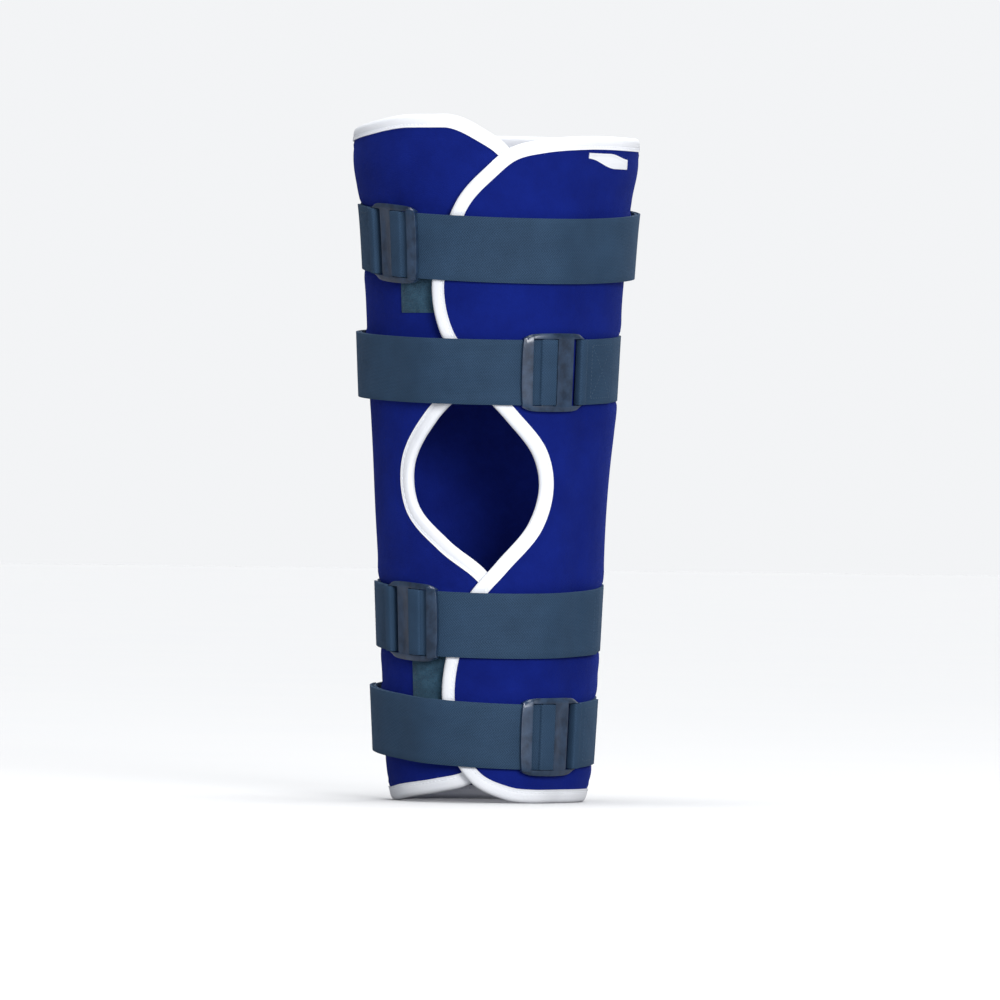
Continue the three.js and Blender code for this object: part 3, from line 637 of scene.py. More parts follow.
def swollen():
    """How far the outer face swells when a coarse copy of the shell is blown up as cloth."""
    shell, u, v, side, at_turn, at_height, inset, at_proud = foam_shell("swelling", *SWELL_CELLS)
    rest = on_leg(-at_turn, at_height, at_proud)
    move_points(shell, rest)
    face_out(shell)
    pressed, _ = pressed_in(at_turn, at_height)
    on_patch = np.where(at_turn < math.pi, patch_dent(-at_turn, at_height) / PATCH_DENT, 0.0)
    under_top = inset_of(at_turn + 2 * math.pi, at_height) + HELD_COVERED_FROM
    covered = smooth(under_top / EDGE_FADE) * (at_turn < math.pi)
    held = (side < 0) | (inset < TAPE_WIDTH + HELD_BESIDE_TAPE) | (pressed > HELD_PRESSED)
    held |= (on_patch > HELD_ON_PATCH) | (covered > 0.5)
    group = shell.vertex_groups.new(name="held")
    group.add([int(k) for k in np.nonzero(held)[0]], 1.0, "REPLACE")
    cloth = shell.modifiers.new("Cloth", "CLOTH")
    cloth.settings.quality = 5
    cloth.settings.mass = CLOTH_MASS
    for kind in ("tension", "compression", "shear"):
        setattr(cloth.settings, kind + "_stiffness", CLOTH_STIFFNESS)
    cloth.settings.vertex_group_mass = "held"
    cloth.settings.use_pressure = True
    cloth.settings.uniform_pressure_force = CLOTH_PRESSURE
    cloth.settings.effector_weights.gravity = 0.0
    cloth.collision_settings.use_collision = False
    for frame_number in range(1, SWELL_FRAMES + 1):
        bpy.context.scene.frame_set(frame_number)
    blown = shell.evaluated_get(bpy.context.evaluated_depsgraph_get())
    moved = np.empty(len(rest) * 3)
    blown.data.vertices.foreach_get("co", moved)
    out = on_leg(-at_turn, at_height, at_proud + PROBE) - rest
    rise = np.sum((moved.reshape(-1, 3) - rest) * out, axis=1) / PROBE
    bpy.context.scene.frame_set(1)
    bpy.data.objects.remove(shell)
    columns, rows = SWELL_CELLS
    grid = np.zeros((columns + 1, rows + 1))
    outer = side > 0
    grid[np.rint(u[outer] * columns).astype(int), np.rint(v[outer] * rows).astype(int)] = rise[outer]
    return np.clip(grid, 0.0, None)


def soft_cap(rise, most):
    return most * (1.0 - np.exp(-rise / most))


def sampled(grid, u, v):
    """Values between a grid's points, by straight lines."""
    x, y = u * (grid.shape[0] - 1), v * (grid.shape[1] - 1)
    i = np.clip(x.astype(int), 0, grid.shape[0] - 2)
    j = np.clip(y.astype(int), 0, grid.shape[1] - 2)
    s, t = x - i, y - j
    low = grid[i, j] * (1 - s) + grid[i + 1, j] * s
    high = grid[i, j + 1] * (1 - s) + grid[i + 1, j + 1] * s
    return low * (1 - t) + high * t


wrap, u, v, side, sheet_turn, sheet_height, sheet_inset, proud = foam_shell("wrap", *WRAP_CELLS)
swelling = soft_cap(sampled(swollen(), u, v), SWELL_MOST) * (side > 0)
move_points(wrap, on_leg(-sheet_turn, sheet_height, proud + swelling))
face_out(wrap)

BLUE_DEEP = colour_of(5, 20, 96)
BLUE = colour_of(13, 34, 126)
wrap_finish, wrap_shader, wrap_place = new_finish("brushed_loop_cloth")
cloud = wrap_place.noise(26.0, 4.0, 0.6)
pile = wrap_place.noise(900.0, 3.0, 0.65)
loops = wrap_place.noise(2600.0, 2.0, 0.5)
dimples = wrap_place.noise(115.0, 3.0)
worn = cloud.ramp([(0.3, 0.0), (0.7, 1.0)]) * 0.55 + pile * 0.45
feed(wrap_shader, {
    "Base Color": worn.blend(BLUE_DEEP, BLUE),
    "Roughness": pile * 0.12 + 0.82,
    "Normal": relief(pile * 0.6 + loops * 0.4 + dimples, 0.0006),
})
wrap_shader.inputs["Sheen Weight"].default_value = 0.22
wrap_shader.inputs["Sheen Roughness"].default_value = 0.4
wrap_shader.inputs["Sheen Tint"].default_value = colour_of(60, 90, 215)
wrap_shader.inputs["Specular IOR Level"].default_value = 0.12
wrap.data.materials.append(wrap_finish)
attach(wrap, "root")
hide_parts("foam_wrap")


# Binding tape: white woven tape folded over the foam's edge and sewn through with one row of white
# thread, in four runs that meet at the corners of the flaps.
TAPE = 0.0009
TAPE_ROUND = 0.0030
STITCH_INSET = 0.0079
STITCH_PITCH = 0.0034
STITCH_LONG = 0.0023
THREAD = 0.0007
THREAD_SINK = 0.00025
THREAD_BEND = 0.45
THREAD_END = 0.45
THREAD_DROP = 0.9
DRAWN_IN = 0.00048
DRAWN_WIDE = 0.0009
PUCKER = 0.00008
PUCKER_REACH = 0.003
TAPE_FOLD_GAP = 0.0004
TAPE_RUNS = {"hem": 230, "top_flap": 220, "rim": 250, "under_flap": 230}


def tape_profile(steps):
    """Across the folded tape: inset from the edge and height over the foam's middle."""
    leg = TAPE_WIDTH - (TAPE_ROUND + TAPE_FOLD_GAP)
    total = 2 * leg + math.pi * TAPE_ROUND
    at = np.asarray(steps) * total
    bend = np.clip((at - leg) / TAPE_ROUND, 0.0, math.pi)
    straight = np.where(at < leg, leg - at, np.maximum(at - leg - math.pi * TAPE_ROUND, 0.0))
    inset = TAPE_ROUND + TAPE_FOLD_GAP + straight - TAPE_ROUND * np.sin(bend)
    return inset, TAPE_ROUND * np.cos(bend), total


def outer_share(off):
    return smooth(0.5 + off / (2 * TAPE_ROUND))


def over_edge(place, direction, inset, off):
    """Points over the bound edge: inset along the cloth from the edge, off the foam's middle."""
    turn = place[:, 0] + direction[:, 0] * inset
    height = place[:, 1] + direction[:, 1] * inset
    change = outer_change(turn, height) * outer_share(off)
    return on_leg(-turn, height, foam_middle(turn, height) + off + change)


def even_path(places, columns):
    """Stations on a run of the outline at equal steps along the cloth."""
    path, direction = outline[places], outline_inward[places]
    radius = half_width(path[:, 1])
    step = np.hypot(np.diff(path[:, 0]) * radius[1:], np.diff(path[:, 1]))
    length = np.concatenate([[0.0], np.cumsum(step)])
    at = np.linspace(0.0, length[-1], columns)

    def pick(values):
        return np.stack([np.interp(at, length, values[:, k]) for k in range(2)], axis=1)

    return pick(path), pick(direction), at


def rows_of_thread(name, starts, ends, out, thick):
    """One mesh of stitches, each a short round thread sunk at both ends."""
    bpy.ops.object.select_all(action="DESELECT")
    bpy.ops.mesh.primitive_cylinder_add(vertices=6, radius=1.0, depth=2.0, end_fill_type="TRIFAN")
    pattern = bpy.context.object
    bpy.ops.object.mode_set(mode="EDIT")
    for cut in (THREAD_BEND, -THREAD_BEND):
        bpy.ops.mesh.select_all(action="SELECT")
        bpy.ops.mesh.bisect(plane_co=(0, 0, cut), plane_no=(0, 0, 1))
    bpy.ops.object.mode_set(mode="OBJECT")
    shape = points_of(pattern)
    faces = [tuple(face.vertices) for face in pattern.data.polygons]
    bpy.data.objects.remove(pattern)
    middle, half = (starts + ends) / 2, (ends - starts) / 2
    along = half / np.linalg.norm(half, axis=1)[:, None]
    side = np.cross(out, along)
    side /= np.linalg.norm(side, axis=1)[:, None]
    up = np.cross(along, side)
    points, polygons = [], []
    for x, y, z in shape:
        flat_part = abs(z) < 0.6
        narrow = 1.0 if flat_part else THREAD_END
        drop = 0.0 if flat_part else -THREAD_DROP
        sideways, upwards = x * narrow * thick / 2, (y * narrow + drop) * thick / 2
        points.append(middle + half * z + side * sideways + up * upwards)
    points = np.stack(points, axis=1)
    for k in range(len(middle)):
        polygons.extend(tuple(i + k * len(shape) for i in face) for face in faces)
    mesh = bpy.data.meshes.new(name)
    mesh.from_pydata(points.reshape(-1, 3).tolist(), [], polygons)
    piece = bpy.data.objects.new(name, mesh)
    bpy.context.scene.collection.objects.link(piece)
    face_out(piece)
    return piece


def stitched(corners, pitch, long):
    """Where the stitches of a row start and end, along straight lines from corner to corner."""
    starts, ends = [], []
    for here, there in zip(corners[:-1], corners[1:]):
        here, run = np.array(here), np.array(there) - np.array(here)
        reach = np.linalg.norm(run)
        count = max(int(round(reach / pitch)), 1)
        middle = ((np.arange(count) + 0.5) / count)[:, None]
        starts.append(here + run * (middle - long / reach / 2))
        ends.append(here + run * (middle + long / reach / 2))
    return np.concatenate(starts), np.concatenate(ends)


def paint_cloth_map(piece, across, along):
    """The piece's own map in metres of cloth, from a value at each vertex."""
    layer = piece.data.uv_layers.new(name="cloth")
    loops = np.empty(len(piece.data.loops), int)
    piece.data.loops.foreach_get("vertex_index", loops)
    layer.data.foreach_set("uv", np.stack([along[loops], across[loops]], axis=1).ravel())
    for other in [item.name for item in piece.data.uv_layers if item.name != "cloth"]:
        piece.data.uv_layers.remove(piece.data.uv_layers[other])


WHITE = colour_of(247, 249, 253)
WHITE_SHADE = colour_of(224, 229, 238)
tape_finish, tape_shader, tape_place = new_finish("white_woven_tape")
tape_map = Wire(tape_finish.node_tree).node("ShaderNodeUVMap", {"uv_map": "cloth"}, {})
ribs = tape_map.part(0).wave(0.0009)
weft = tape_map.part(1).wave(0.0011)
soil = tape_place.noise(60.0, 4.0)
feed(tape_shader, {
    "Base Color": (soil * 0.5 + ribs * 0.3).blend(WHITE, WHITE_SHADE),
    "Roughness": soil * 0.1 + 0.72,
    "Normal": relief(ribs * 0.7 + weft * 0.3, 0.00012),
})
tape_shader.inputs["Sheen Weight"].default_value = 0.12
tape_shader.inputs["Specular IOR Level"].default_value = 0.3


def thread_finish_of(name, first, second, rough):
    """Twisted sewing thread, mottled between two colours."""
    finish, shader, place = new_finish(name)
    twist = place.noise(1500.0, 2.0)
    feed(shader, {
        "Base Color": twist.blend(first, second),
        "Roughness": twist * 0.15 + rough,
        "Normal": relief(twist, 0.0001),
    })
    return finish


thread_finish = thread_finish_of("white_thread", WHITE, WHITE_SHADE, 0.55)

TAPE_ACROSS = 22
for run, columns in TAPE_RUNS.items():
    tape = flat_grid("tape_" + run, columns, TAPE_ACROSS)
    flat = points_of(tape)
    u, v = (flat[:, 0] + 1) / 2, (flat[:, 1] + 1) / 2
    inset, off, developed = tape_profile(v)
    path, direction, length = even_path(side_places[run], columns + 1)
    at = np.rint(u * columns).astype(int)
    from_row = np.abs(inset - STITCH_INSET)
    drawn_in = DRAWN_IN * np.exp(-((from_row / DRAWN_WIDE) ** 2))
    pucker = PUCKER * np.sin(length[at] * 2 * math.pi / STITCH_PITCH)
    pucker = pucker * smooth(1 - from_row / PUCKER_REACH)
    shape = off - np.sign(off) * (drawn_in + pucker) * (inset > TAPE_ROUND)
    move_points(tape, over_edge(path[at], direction[at], inset, shape))
    paint_cloth_map(tape, v * developed, length[at])
    finish_with(tape, "SOLIDIFY", thickness=TAPE, offset=0.0)
    face_out(tape)
    tape.data.materials.append(tape_finish)
    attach(tape, "root")
    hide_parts("binding_" + run)

    count = int(length[-1] / STITCH_PITCH)
    middles = (np.arange(count) + 0.5) * length[-1] / count
    for face, sign in (("outside", 1.0), ("inside", -1.0)):
        lie = sign * (TAPE_ROUND + TAPE / 2 - THREAD_SINK)
        ends = []
        for shift in (-STITCH_LONG / 2, STITCH_LONG / 2):
            at_end = np.clip(middles + shift, 0.0, length[-1])
            here = np.stack([np.interp(at_end, length, path[:, k]) for k in range(2)], axis=1)
            aim = np.stack([np.interp(at_end, length, direction[:, k]) for k in range(2)], axis=1)
            ends.append((here, aim))
        starts, stops = (over_edge(h, a, STITCH_INSET, np.full(count, lie)) for h, a in ends)
        above = over_edge(*ends[0], STITCH_INSET, np.full(count, lie + sign * PROBE))
        thread = rows_of_thread(f"stitches_{run}_{face}", starts, stops, above - starts, THREAD)
        thread.data.materials.append(thread_finish)
        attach(thread, "root")


# Fastening patches: two rectangles of short grey-green loop pile sewn on the under flap, where they
# show beside the top flap's edge.
PATCH = 0.001
PATCH_CLEARANCE = 0.0004
PILE_SHADE = colour_of(20, 48, 66)
PILE_LIGHT = colour_of(56, 92, 116)
patch_finish, patch_shader, patch_place = new_finish("loop_pile")
tuft = patch_place.noise(1700.0, 3.0, 0.7)
matting = patch_place.noise(140.0, 3.0)
pile_tone = (tuft * 0.6 + matting * 0.4).ramp([(0.35, 0.0), (0.65, 1.0)])
feed(patch_shader, {
    "Base Color": pile_tone.blend(PILE_SHADE, PILE_LIGHT),
    "Roughness": matting * 0.1 + 0.86,
    "Normal": relief(tuft, 0.0007),
})
patch_shader.inputs["Sheen Weight"].default_value = 0.15
patch_shader.inputs["Specular IOR Level"].default_value = 0.1

PATCH_SEAM = 0.0022
PATCH_THREAD = 0.0005
PATCH_THREAD_SINK = 0.0003
SEAM_DEPTH = 0.00025
SEAM_WIDE = 0.0007
EDGE_DROP = 0.0003
EDGE_REACH = 0.001
PATCH_THREAD_TONES = (colour_of(30, 52, 66), colour_of(64, 92, 104))
patch_thread_finish = thread_finish_of("patch_thread", *PATCH_THREAD_TONES, 0.55)


def sewn_on(name, angle_of, low_of, high_of, surface, thick, columns, rows):
    """A flat piece laid on the wrap's outer face, with its edges rolled down on to it."""
    piece = flat_grid(name, columns, rows)
    flat = points_of(piece)
    u, v = (flat[:, 0] + 1) / 2, (flat[:, 1] + 1) / 2
    angle = angle_of(u)
    height = low_of(u) + (high_of(u) - low_of(u)) * v
    wide, tall = np.ptp(angle) * half_width(height), high_of(u) - low_of(u)
    from_edge = np.minimum(np.minimum(u, 1 - u) * wide, np.minimum(v, 1 - v) * tall)
    seam = SEAM_DEPTH * np.exp(-(((from_edge - PATCH_SEAM) / SEAM_WIDE) ** 2))
    rolled = EDGE_DROP * (1 - smooth(from_edge / EDGE_REACH))
    proud = surface(angle, height) + thick / 2 - seam - rolled
    move_points(piece, on_leg(angle, height, proud))
    paint_cloth_map(piece, height, angle * half_width(height))
    finish_with(piece, "SOLIDIFY", thickness=thick, offset=0.0)
    face_out(piece)
    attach(piece, "root")
    return piece


def under_face(angle, height):
    turn = -angle
    return foam_middle(turn, height) + FOAM / 2 + outer_change(turn, height) + PATCH_CLEARANCE


for name, patch in PATCHES.items():
    middle_height = (patch["low"] + patch["high"]) / 2 * LENGTH
    radius = half_width(middle_height)
    left, right = (math.asin(patch[key] * WIDTH / radius) for key in ("left", "right"))
    low, high = patch["low"] * LENGTH, patch["high"] * LENGTH
    piece = sewn_on(
        "patch_" + name + "_pile",
        lambda u: left + (right - left) * u,
        lambda u: low + 0 * u,
        lambda u: high + 0 * u,
        under_face, PATCH, 40, 50,
    )
    piece.data.materials.append(patch_finish)
    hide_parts("patch_" + name)

    near, far = (left + PATCH_SEAM / radius) * radius, (right - PATCH_SEAM / radius) * radius
    bottom, top = low + PATCH_SEAM, high - PATCH_SEAM
    seam = [(near, bottom), (far, bottom), (far, top), (near, top), (near, bottom)]
    starts, ends = (
        on_leg(x / radius, z, under_face(x / radius, z) + PATCH - PATCH_THREAD_SINK)
        for x, z in (places.T for places in stitched(seam, STITCH_PITCH, STITCH_LONG))
    )
    out = starts - np.array((*AXIS, 0.0)) - starts * (0, 0, 1)
    thread = rows_of_thread("stitches_patch_" + name, starts, ends, out, PATCH_THREAD)
    thread.data.materials.append(patch_thread_finish)
    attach(thread, "root")


# Pocket tape: the short end of white tape that closes the stay pocket at the side, just under the
# rim's binding.
POCKET_TAPE = 0.0009
POCKET_TAPE_LENGTH = 0.050
POCKET_FROM = math.radians(39)
POCKET_BELOW_RIM = 0.003
POCKET_NARROW = 0.4
POCKET_WIDENS = 0.68
POCKET_SLANTS = 1.6
POCKET_FALLS = 0.38
pocket_top = LENGTH * RIM[0][1] - TAPE_WIDTH - POCKET_BELOW_RIM


def top_face(angle, height):
    return under_face(angle - 2 * math.pi, height)


pocket = sewn_on(
    "pocket_tape_end",
    lambda u: POCKET_FROM + u * POCKET_TAPE_LENGTH / (WIDTH / 2),
    lambda u: pocket_top - TAPE_WIDTH * (POCKET_NARROW + POCKET_WIDENS * smooth(POCKET_SLANTS * u)),
    lambda u: pocket_top - TAPE_WIDTH * POCKET_FALLS * smooth((u - 0.5) / 0.5),
    top_face, POCKET_TAPE, 40, 10,
)
pocket.data.materials.append(tape_finish)
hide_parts("pocket_tape")


# Straps: slate webbing with a herringbone weave. One end is sewn back on itself round the buckle's
# end bar; the other goes once round the leg, up through the buckle and back over itself.
WEBBING = 0.0018
STRAP_CLEARANCE = 0.0008
LAYER_GAP = 0.0005
FOLD_CLEARANCE = 0.0004
TAB_LENGTH = 0.046
TAIL_SPRING = 0.0011
SPRING_REACH = 0.05
ARC_STEP = math.radians(9.5)
BUCKLE_LENGTH = 0.056
END_BAR = 0.004
THREAD_BAR = 0.0085
THREAD_SLOT = 0.0082
BAR_BOTTOM = 0.0034
BAR_TOP = 0.007
LIP = 0.008
PLATE = 0.015
FOLD_RUN = 0.0055
FOLD_UNDER = 0.0045
TAB_TO_BAR = 0.009
BAR_TO_WRAP = 0.003
BAR_TO_TAIL = 0.013
TWILL_PITCH = 0.0019
WARP_PITCH = 0.0010
ZIGZAG = 0.004
SELVEDGE_ROUND = 0.00045
WEBBING_ACROSS = 10

half_buckle = BUCKLE_LENGTH / 2
end_bar = (-half_buckle, END_BAR - half_buckle)
lip_bar = (half_buckle - LIP, half_buckle)
thread_bar = (lip_bar[0] - THREAD_SLOT - THREAD_BAR, lip_bar[0] - THREAD_SLOT)
plate_end = thread_bar[0] - WEBBING - 3 * FOLD_CLEARANCE
plate_bar = (plate_end - PLATE, plate_end)


def on_course(strap, along, up, high):
    """Points along a strap from its buckle's middle, up across it and high over the wrap."""
    angle = math.radians(strap["buckle"]) + strap["pull"] * along / strap["radius"]
    rest = rest_height(angle, strap["edge"]) + standing_off(strap, angle)
    return on_leg(angle, strap_height(strap, angle) + up, rest + high - SINK)


def round_bar(bar, side):
    """The fold over a bar, from the strap's upper layer to its lower one."""
    low = STRAP_CLEARANCE + WEBBING / 2
    high = low + WEBBING + LAYER_GAP
    reach = WEBBING / 2 + FOLD_CLEARANCE
    corner = reach * (math.sqrt(2) - 1)
    near, far = (bar[0], bar[1]) if side > 0 else (bar[1], bar[0])
    bottom = max(BAR_BOTTOM - reach, low)
    return [
        (far + side * FOLD_RUN, high),
        (far + side * (reach + 0.0002), BAR_TOP - 0.0008),
        (far + side * reach, BAR_TOP + corner),
        (far + side * corner, BAR_TOP + reach),
        (near - side * corner, BAR_TOP + reach),
        (near - side * reach, BAR_TOP + corner),
        (near - side * reach, BAR_BOTTOM - corner),
        (near - side * corner, bottom),
        (near + side * FOLD_UNDER, low),
    ]


def strap_path(strap):
    """The webbing's middle line from the sewn tab to the end of the tail."""
    radius = strap["radius"]
    low = STRAP_CLEARANCE + WEBBING / 2
    high = low + WEBBING + LAYER_GAP
    circuit = 2 * math.pi * radius
    tab_from = end_bar[0] - TAB_LENGTH
    tab = [tab_from, tab_from + TAB_LENGTH / 3, tab_from + 2 * TAB_LENGTH / 3, end_bar[0] - TAB_TO_BAR]
    tail_end = math.radians(strap["tail"]) * radius
    step = ARC_STEP * radius
    front = list(np.arange(thread_bar[1] + BAR_TO_TAIL, tail_end - step / 3, step)) + [tail_end]
    behind = list(np.arange(tail_end + step, circuit + tab_from - step / 3, step))
    around = ([thread_bar[1] + BAR_TO_WRAP] + front + behind)[::-1]
    path = [(along, high) for along in tab]
    path += round_bar(end_bar, -1)
    path += [(along, low) for along in tab[::-1]]
    path += [(along - circuit, low) for along in around]
    path += [(along - circuit, at) for along, at in round_bar(thread_bar, 1)[::-1]]
    for along in front:
        sprung = TAIL_SPRING * smooth((along - tail_end + SPRING_REACH) / SPRING_REACH)
        path.append((along - circuit, high + float(sprung)))
    return np.array(path)


def cut_corners(path, times):
    for _ in range(times):
        a, b = path[:-1], path[1:]
        cut = np.stack([0.75 * a + 0.25 * b, 0.25 * a + 0.75 * b], axis=1).reshape(-1, 2)
        path = np.concatenate([path[:1], cut, path[-1:]])
    return path


SLATE = colour_of(52, 80, 110)
SLATE_DARK = colour_of(14, 34, 52)
webbing_finish, webbing_shader, webbing_place = new_finish("slate_webbing")
webbing_map = Wire(webbing_finish.node_tree).node("ShaderNodeUVMap", {"uv_map": "cloth"}, {})
along_webbing, across_webbing = webbing_map.part(0), webbing_map.part(1)
zigzag = webbing_map.node("ShaderNodeMath", {"operation": "PINGPONG"}, {0: across_webbing, 1: ZIGZAG})
twill = (along_webbing + zigzag).wave(TWILL_PITCH)
warp = across_webbing.wave(WARP_PITCH)
fade = webbing_place.noise(45.0, 4.0)
fluff = webbing_place.noise(1400.0, 2.0)
thread_depth = twill * 0.65 + warp * 0.35
feed(webbing_shader, {
    "Base Color": (thread_depth * 0.45 + fade * 0.4 + fluff * 0.15).blend(SLATE_DARK, SLATE),
    "Roughness": fluff * 0.15 + 0.68,
    "Normal": relief(thread_depth + fluff * 0.2, 0.00025),
})
webbing_shader.inputs["Sheen Weight"].default_value = 0.15
webbing_shader.inputs["Sheen Tint"].default_value = colour_of(120, 160, 205)
webbing_shader.inputs["Specular IOR Level"].default_value = 0.22

TAB_STITCH_PITCH = 0.0031
TAB_STITCH_LONG = 0.0023
TAB_THREAD = 0.0006
TAB_SEAM = 0.0045
TAB_SEAM_NEAR = 0.013
TAB_SEAM_FAR = 0.004
TAIL_SEAMS = (0.004, 0.008)
TAB_THREAD_SINK = 0.0001
slate_thread_finish = thread_finish_of("slate_thread", SLATE_DARK, colour_of(62, 92, 122), 0.5)

for name, strap in STRAPS.items():
    start = math.radians(strap["buckle"])
    rest = float(rest_height(start, strap["edge"]))
    strap["radius"] = float(half_width(strap["front"] * LENGTH)) + rest + BAR_TOP / 2
    path = cut_corners(strap_path(strap), 3)
    length = np.concatenate([[0.0], np.cumsum(np.linalg.norm(np.diff(path, axis=0), axis=1))])
    webbing = flat_grid("webbing_" + name, len(path) - 1, WEBBING_ACROSS)
    flat = points_of(webbing)
    at = np.rint((flat[:, 0] + 1) / 2 * (len(path) - 1)).astype(int)
    across = flat[:, 1] * STRAP_WIDTH / 2
    move_points(webbing, on_course(strap, path[at, 0], across, path[at, 1]))
    paint_cloth_map(webbing, across, length[at])
    finish_with(webbing, "SOLIDIFY", thickness=WEBBING, offset=0.0)
    finish_with(webbing, "BEVEL", width=SELVEDGE_ROUND, segments=2, angle_limit=math.radians(60))
    face_out(webbing)
    webbing.data.materials.append(webbing_finish)
    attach(webbing, "root")
    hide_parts("strap_" + name)

    tail_end = math.radians(strap["tail"]) * strap["radius"]
    near, far = end_bar[0] - TAB_SEAM_NEAR, end_bar[0] - TAB_LENGTH + TAB_SEAM_FAR
    edge = STRAP_WIDTH / 2 - TAB_SEAM
    box = [(near, -edge), (far, -edge), (far, edge), (near, edge), (near, -edge), (far, edge)]
    rows = [(box, 0.0), ([(near, edge), (far, -edge)], 0.0)]
    rows += [([(tail_end - back, -edge), (tail_end - back, edge)], TAIL_SPRING) for back in TAIL_SEAMS]
    lie = STRAP_CLEARANCE + 2 * WEBBING + LAYER_GAP - TAB_THREAD_SINK
    starts, ends = [], []
    for corners, sprung in rows:
        for places, found in zip(stitched(corners, TAB_STITCH_PITCH, TAB_STITCH_LONG), (starts, ends)):
            found.append(on_course(strap, places[:, 0], places[:, 1], lie + sprung))
    starts, ends = np.concatenate(starts), np.concatenate(ends)
    out = starts - np.array((*AXIS, 0.0)) - starts * (0, 0, 1)
    thread = rows_of_thread("stitches_strap_" + name, starts, ends, out, TAB_THREAD)
    thread.data.materials.append(slate_thread_finish)
    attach(thread, "root")


# Buckles: dark satin plastic, moulded in one piece: two arched rails joined by an end bar, a wide
# plate, the bar that the webbing folds over and a raised lip to lift it by.
RAIL = 0.0036
RAIL_CLEARANCE = 0.0006
RAIL_BOTTOM = 0.0026
FRAME_TOP = 0.0072
LIP_BOTTOM = 0.0054
LIP_TOP = 0.0089
PLATE_BOTTOM = 0.0038
MOULD_ROUND = 0.0012
RAIL_ARCH = 0.0007
RAIL_CROWN = 0.0010
RAIL_FALL = 0.0017
CORNER_ROUND = 0.0026
ENDS_BOW = 0.0016
PLATE_HOLLOW = 0.0010
PLATE_EDGE = 0.003
PLATE_FADE = 0.006
CUTS_ALONG = 0.0015
CUTS_ACROSS = 0.004
rail_inside = STRAP_WIDTH / 2 + RAIL_CLEARANCE
rail_outside = rail_inside + RAIL


def moulded_block(along, up, high):
    """A block between two places along, across and over the wrap."""
    bpy.ops.object.select_all(action="DESELECT")
    middle = [(pair[0] + pair[1]) / 2 for pair in (along, up, high)]
    size = [pair[1] - pair[0] for pair in (along, up, high)]
    bpy.ops.mesh.primitive_cube_add(size=1.0, location=middle, scale=size)
    bpy.ops.object.transform_apply(location=True, rotation=True, scale=True)
    return bpy.context.object


def moulded_frame():
    """The buckle as it comes from the mould, flat, with its edges rounded."""
    bars_reach = (-rail_inside - RAIL / 2, rail_inside + RAIL / 2)
    whole = (end_bar[0], lip_bar[1])
    blank = moulded_block(whole, (rail_inside, rail_outside), (RAIL_BOTTOM, FRAME_TOP))
    others = [
        moulded_block(whole, (-rail_outside, -rail_inside), (RAIL_BOTTOM, FRAME_TOP)),
        moulded_block(end_bar, bars_reach, (BAR_BOTTOM, BAR_TOP)),
        moulded_block(plate_bar, bars_reach, (PLATE_BOTTOM, BAR_TOP)),
        moulded_block(thread_bar, bars_reach, (BAR_BOTTOM, BAR_TOP)),
        moulded_block(lip_bar, bars_reach, (LIP_BOTTOM, LIP_TOP)),
    ]
    for other in others:
        finish_with(blank, "BOOLEAN", operation="UNION", object=other, solver="EXACT")
        bpy.data.objects.remove(other)
    finish_with(blank, "BEVEL", width=MOULD_ROUND, segments=4, angle_limit=math.radians(40))
    edit(blank)
    for cut in np.arange(whole[0] + 0.001, whole[1], CUTS_ALONG):
        bpy.ops.mesh.select_all(action="SELECT")
        bpy.ops.mesh.bisect(plane_co=(cut, 0, 0), plane_no=(1, 0, 0))
    for cut in np.arange(-rail_inside + CUTS_ACROSS / 2, rail_inside, CUTS_ACROSS):
        bpy.ops.mesh.select_all(action="SELECT")
        bpy.ops.mesh.bisect(plane_co=(0, cut, 0), plane_no=(0, 1, 0))
    bpy.ops.object.mode_set(mode="OBJECT")
    return blank


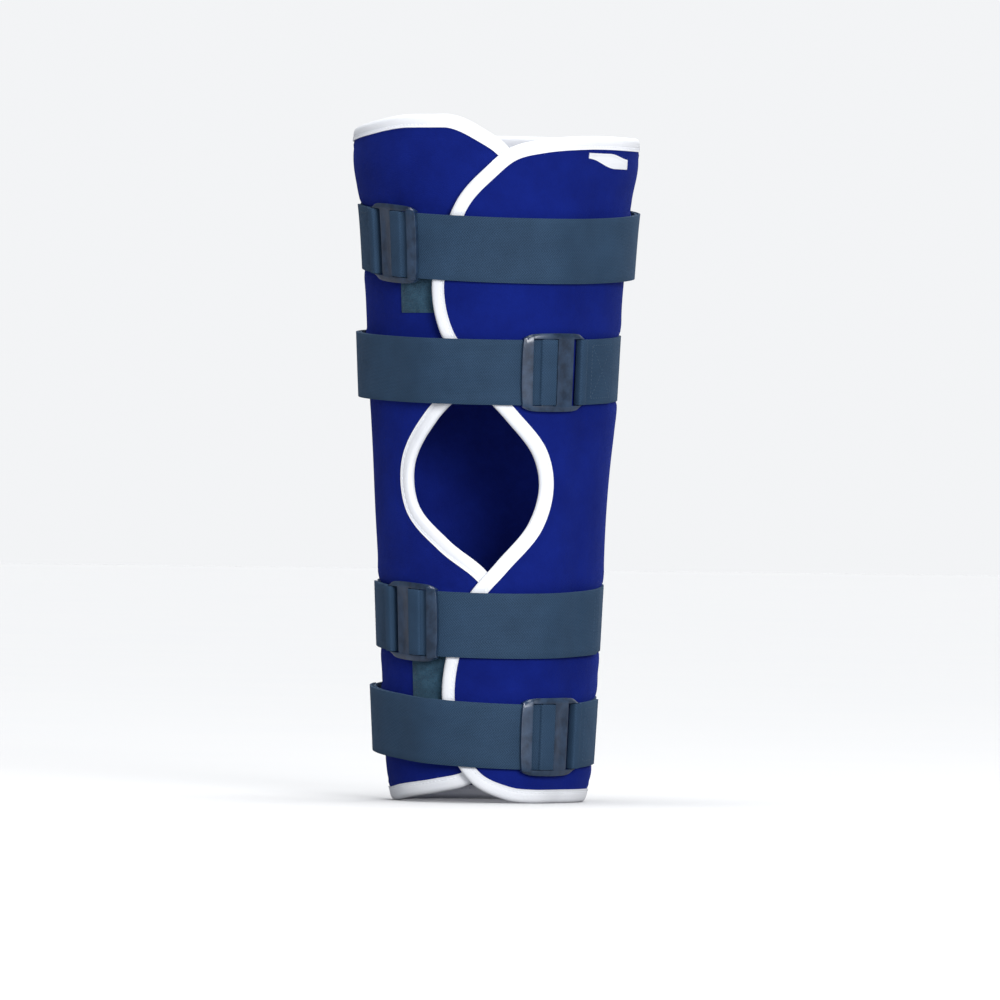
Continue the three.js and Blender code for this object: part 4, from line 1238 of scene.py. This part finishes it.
PLASTIC = colour_of(24, 40, 56)
PLASTIC_LIGHT = colour_of(58, 82, 106)
buckle_finish, buckle_shader, buckle_place = new_finish("satin_plastic")
grain = buckle_place.noise(1800.0, 2.0)
handling = buckle_place.noise(90.0, 5.0, 0.65)
scuffs = buckle_place.noise(420.0, 6.0, 0.75).ramp([(0.52, 0.0), (0.75, 1.0)])
plastic_tone = handling.ramp([(0.35, 0.0), (0.75, 0.8)]) + scuffs * 0.2
feed(buckle_shader, {
    "Base Color": plastic_tone.blend(PLASTIC, PLASTIC_LIGHT),
    "Roughness": handling * 0.16 + scuffs * 0.12 + 0.26,
    "Normal": relief(grain, 0.00004),
})
buckle_shader.inputs["Coat Weight"].default_value = 0.35
buckle_shader.inputs["Coat Roughness"].default_value = 0.22
buckle_shader.inputs["Coat Tint"].default_value = colour_of(200, 215, 255)

mould = moulded_frame()
for name, strap in STRAPS.items():
    buckle = mould.copy()
    buckle.data = mould.data.copy()
    buckle.name = buckle.data.name = "buckle_" + name + "_moulding"
    bpy.context.scene.collection.objects.link(buckle)
    flat = points_of(buckle)
    along, up, high = flat.T
    share = along / half_buckle
    over_rail = np.clip((np.abs(up) - rail_inside) / RAIL, 0.0, 1.0)
    in_plate = np.clip((along - plate_bar[0]) / PLATE, 0.0, 1.0)
    inside = smooth((rail_inside - PLATE_EDGE - np.abs(up)) / PLATE_FADE)
    hollow = np.sin(math.pi * in_plate) ** 2 * inside
    raised = smooth((high - BAR_BOTTOM) / (FRAME_TOP - BAR_BOTTOM))
    at_ends = smooth((np.abs(share) - 0.6) / 0.4)
    bowed = np.sign(along) * ENDS_BOW * at_ends * (np.abs(up) / rail_outside) ** 3
    arched = np.sign(up) * over_rail * (RAIL_ARCH * (1 - share**2) - CORNER_ROUND * share**6)
    crowned = RAIL_CROWN * (1 - share**2) * over_rail - PLATE_HOLLOW * hollow - RAIL_FALL * over_rail**2
    move_points(buckle, on_course(strap, along - bowed, up + arched, high + raised * crowned))
    face_out(buckle)
    buckle.data.materials.append(buckle_finish)
    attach(buckle, "root")
    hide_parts("buckle_" + name)
bpy.data.objects.remove(mould)
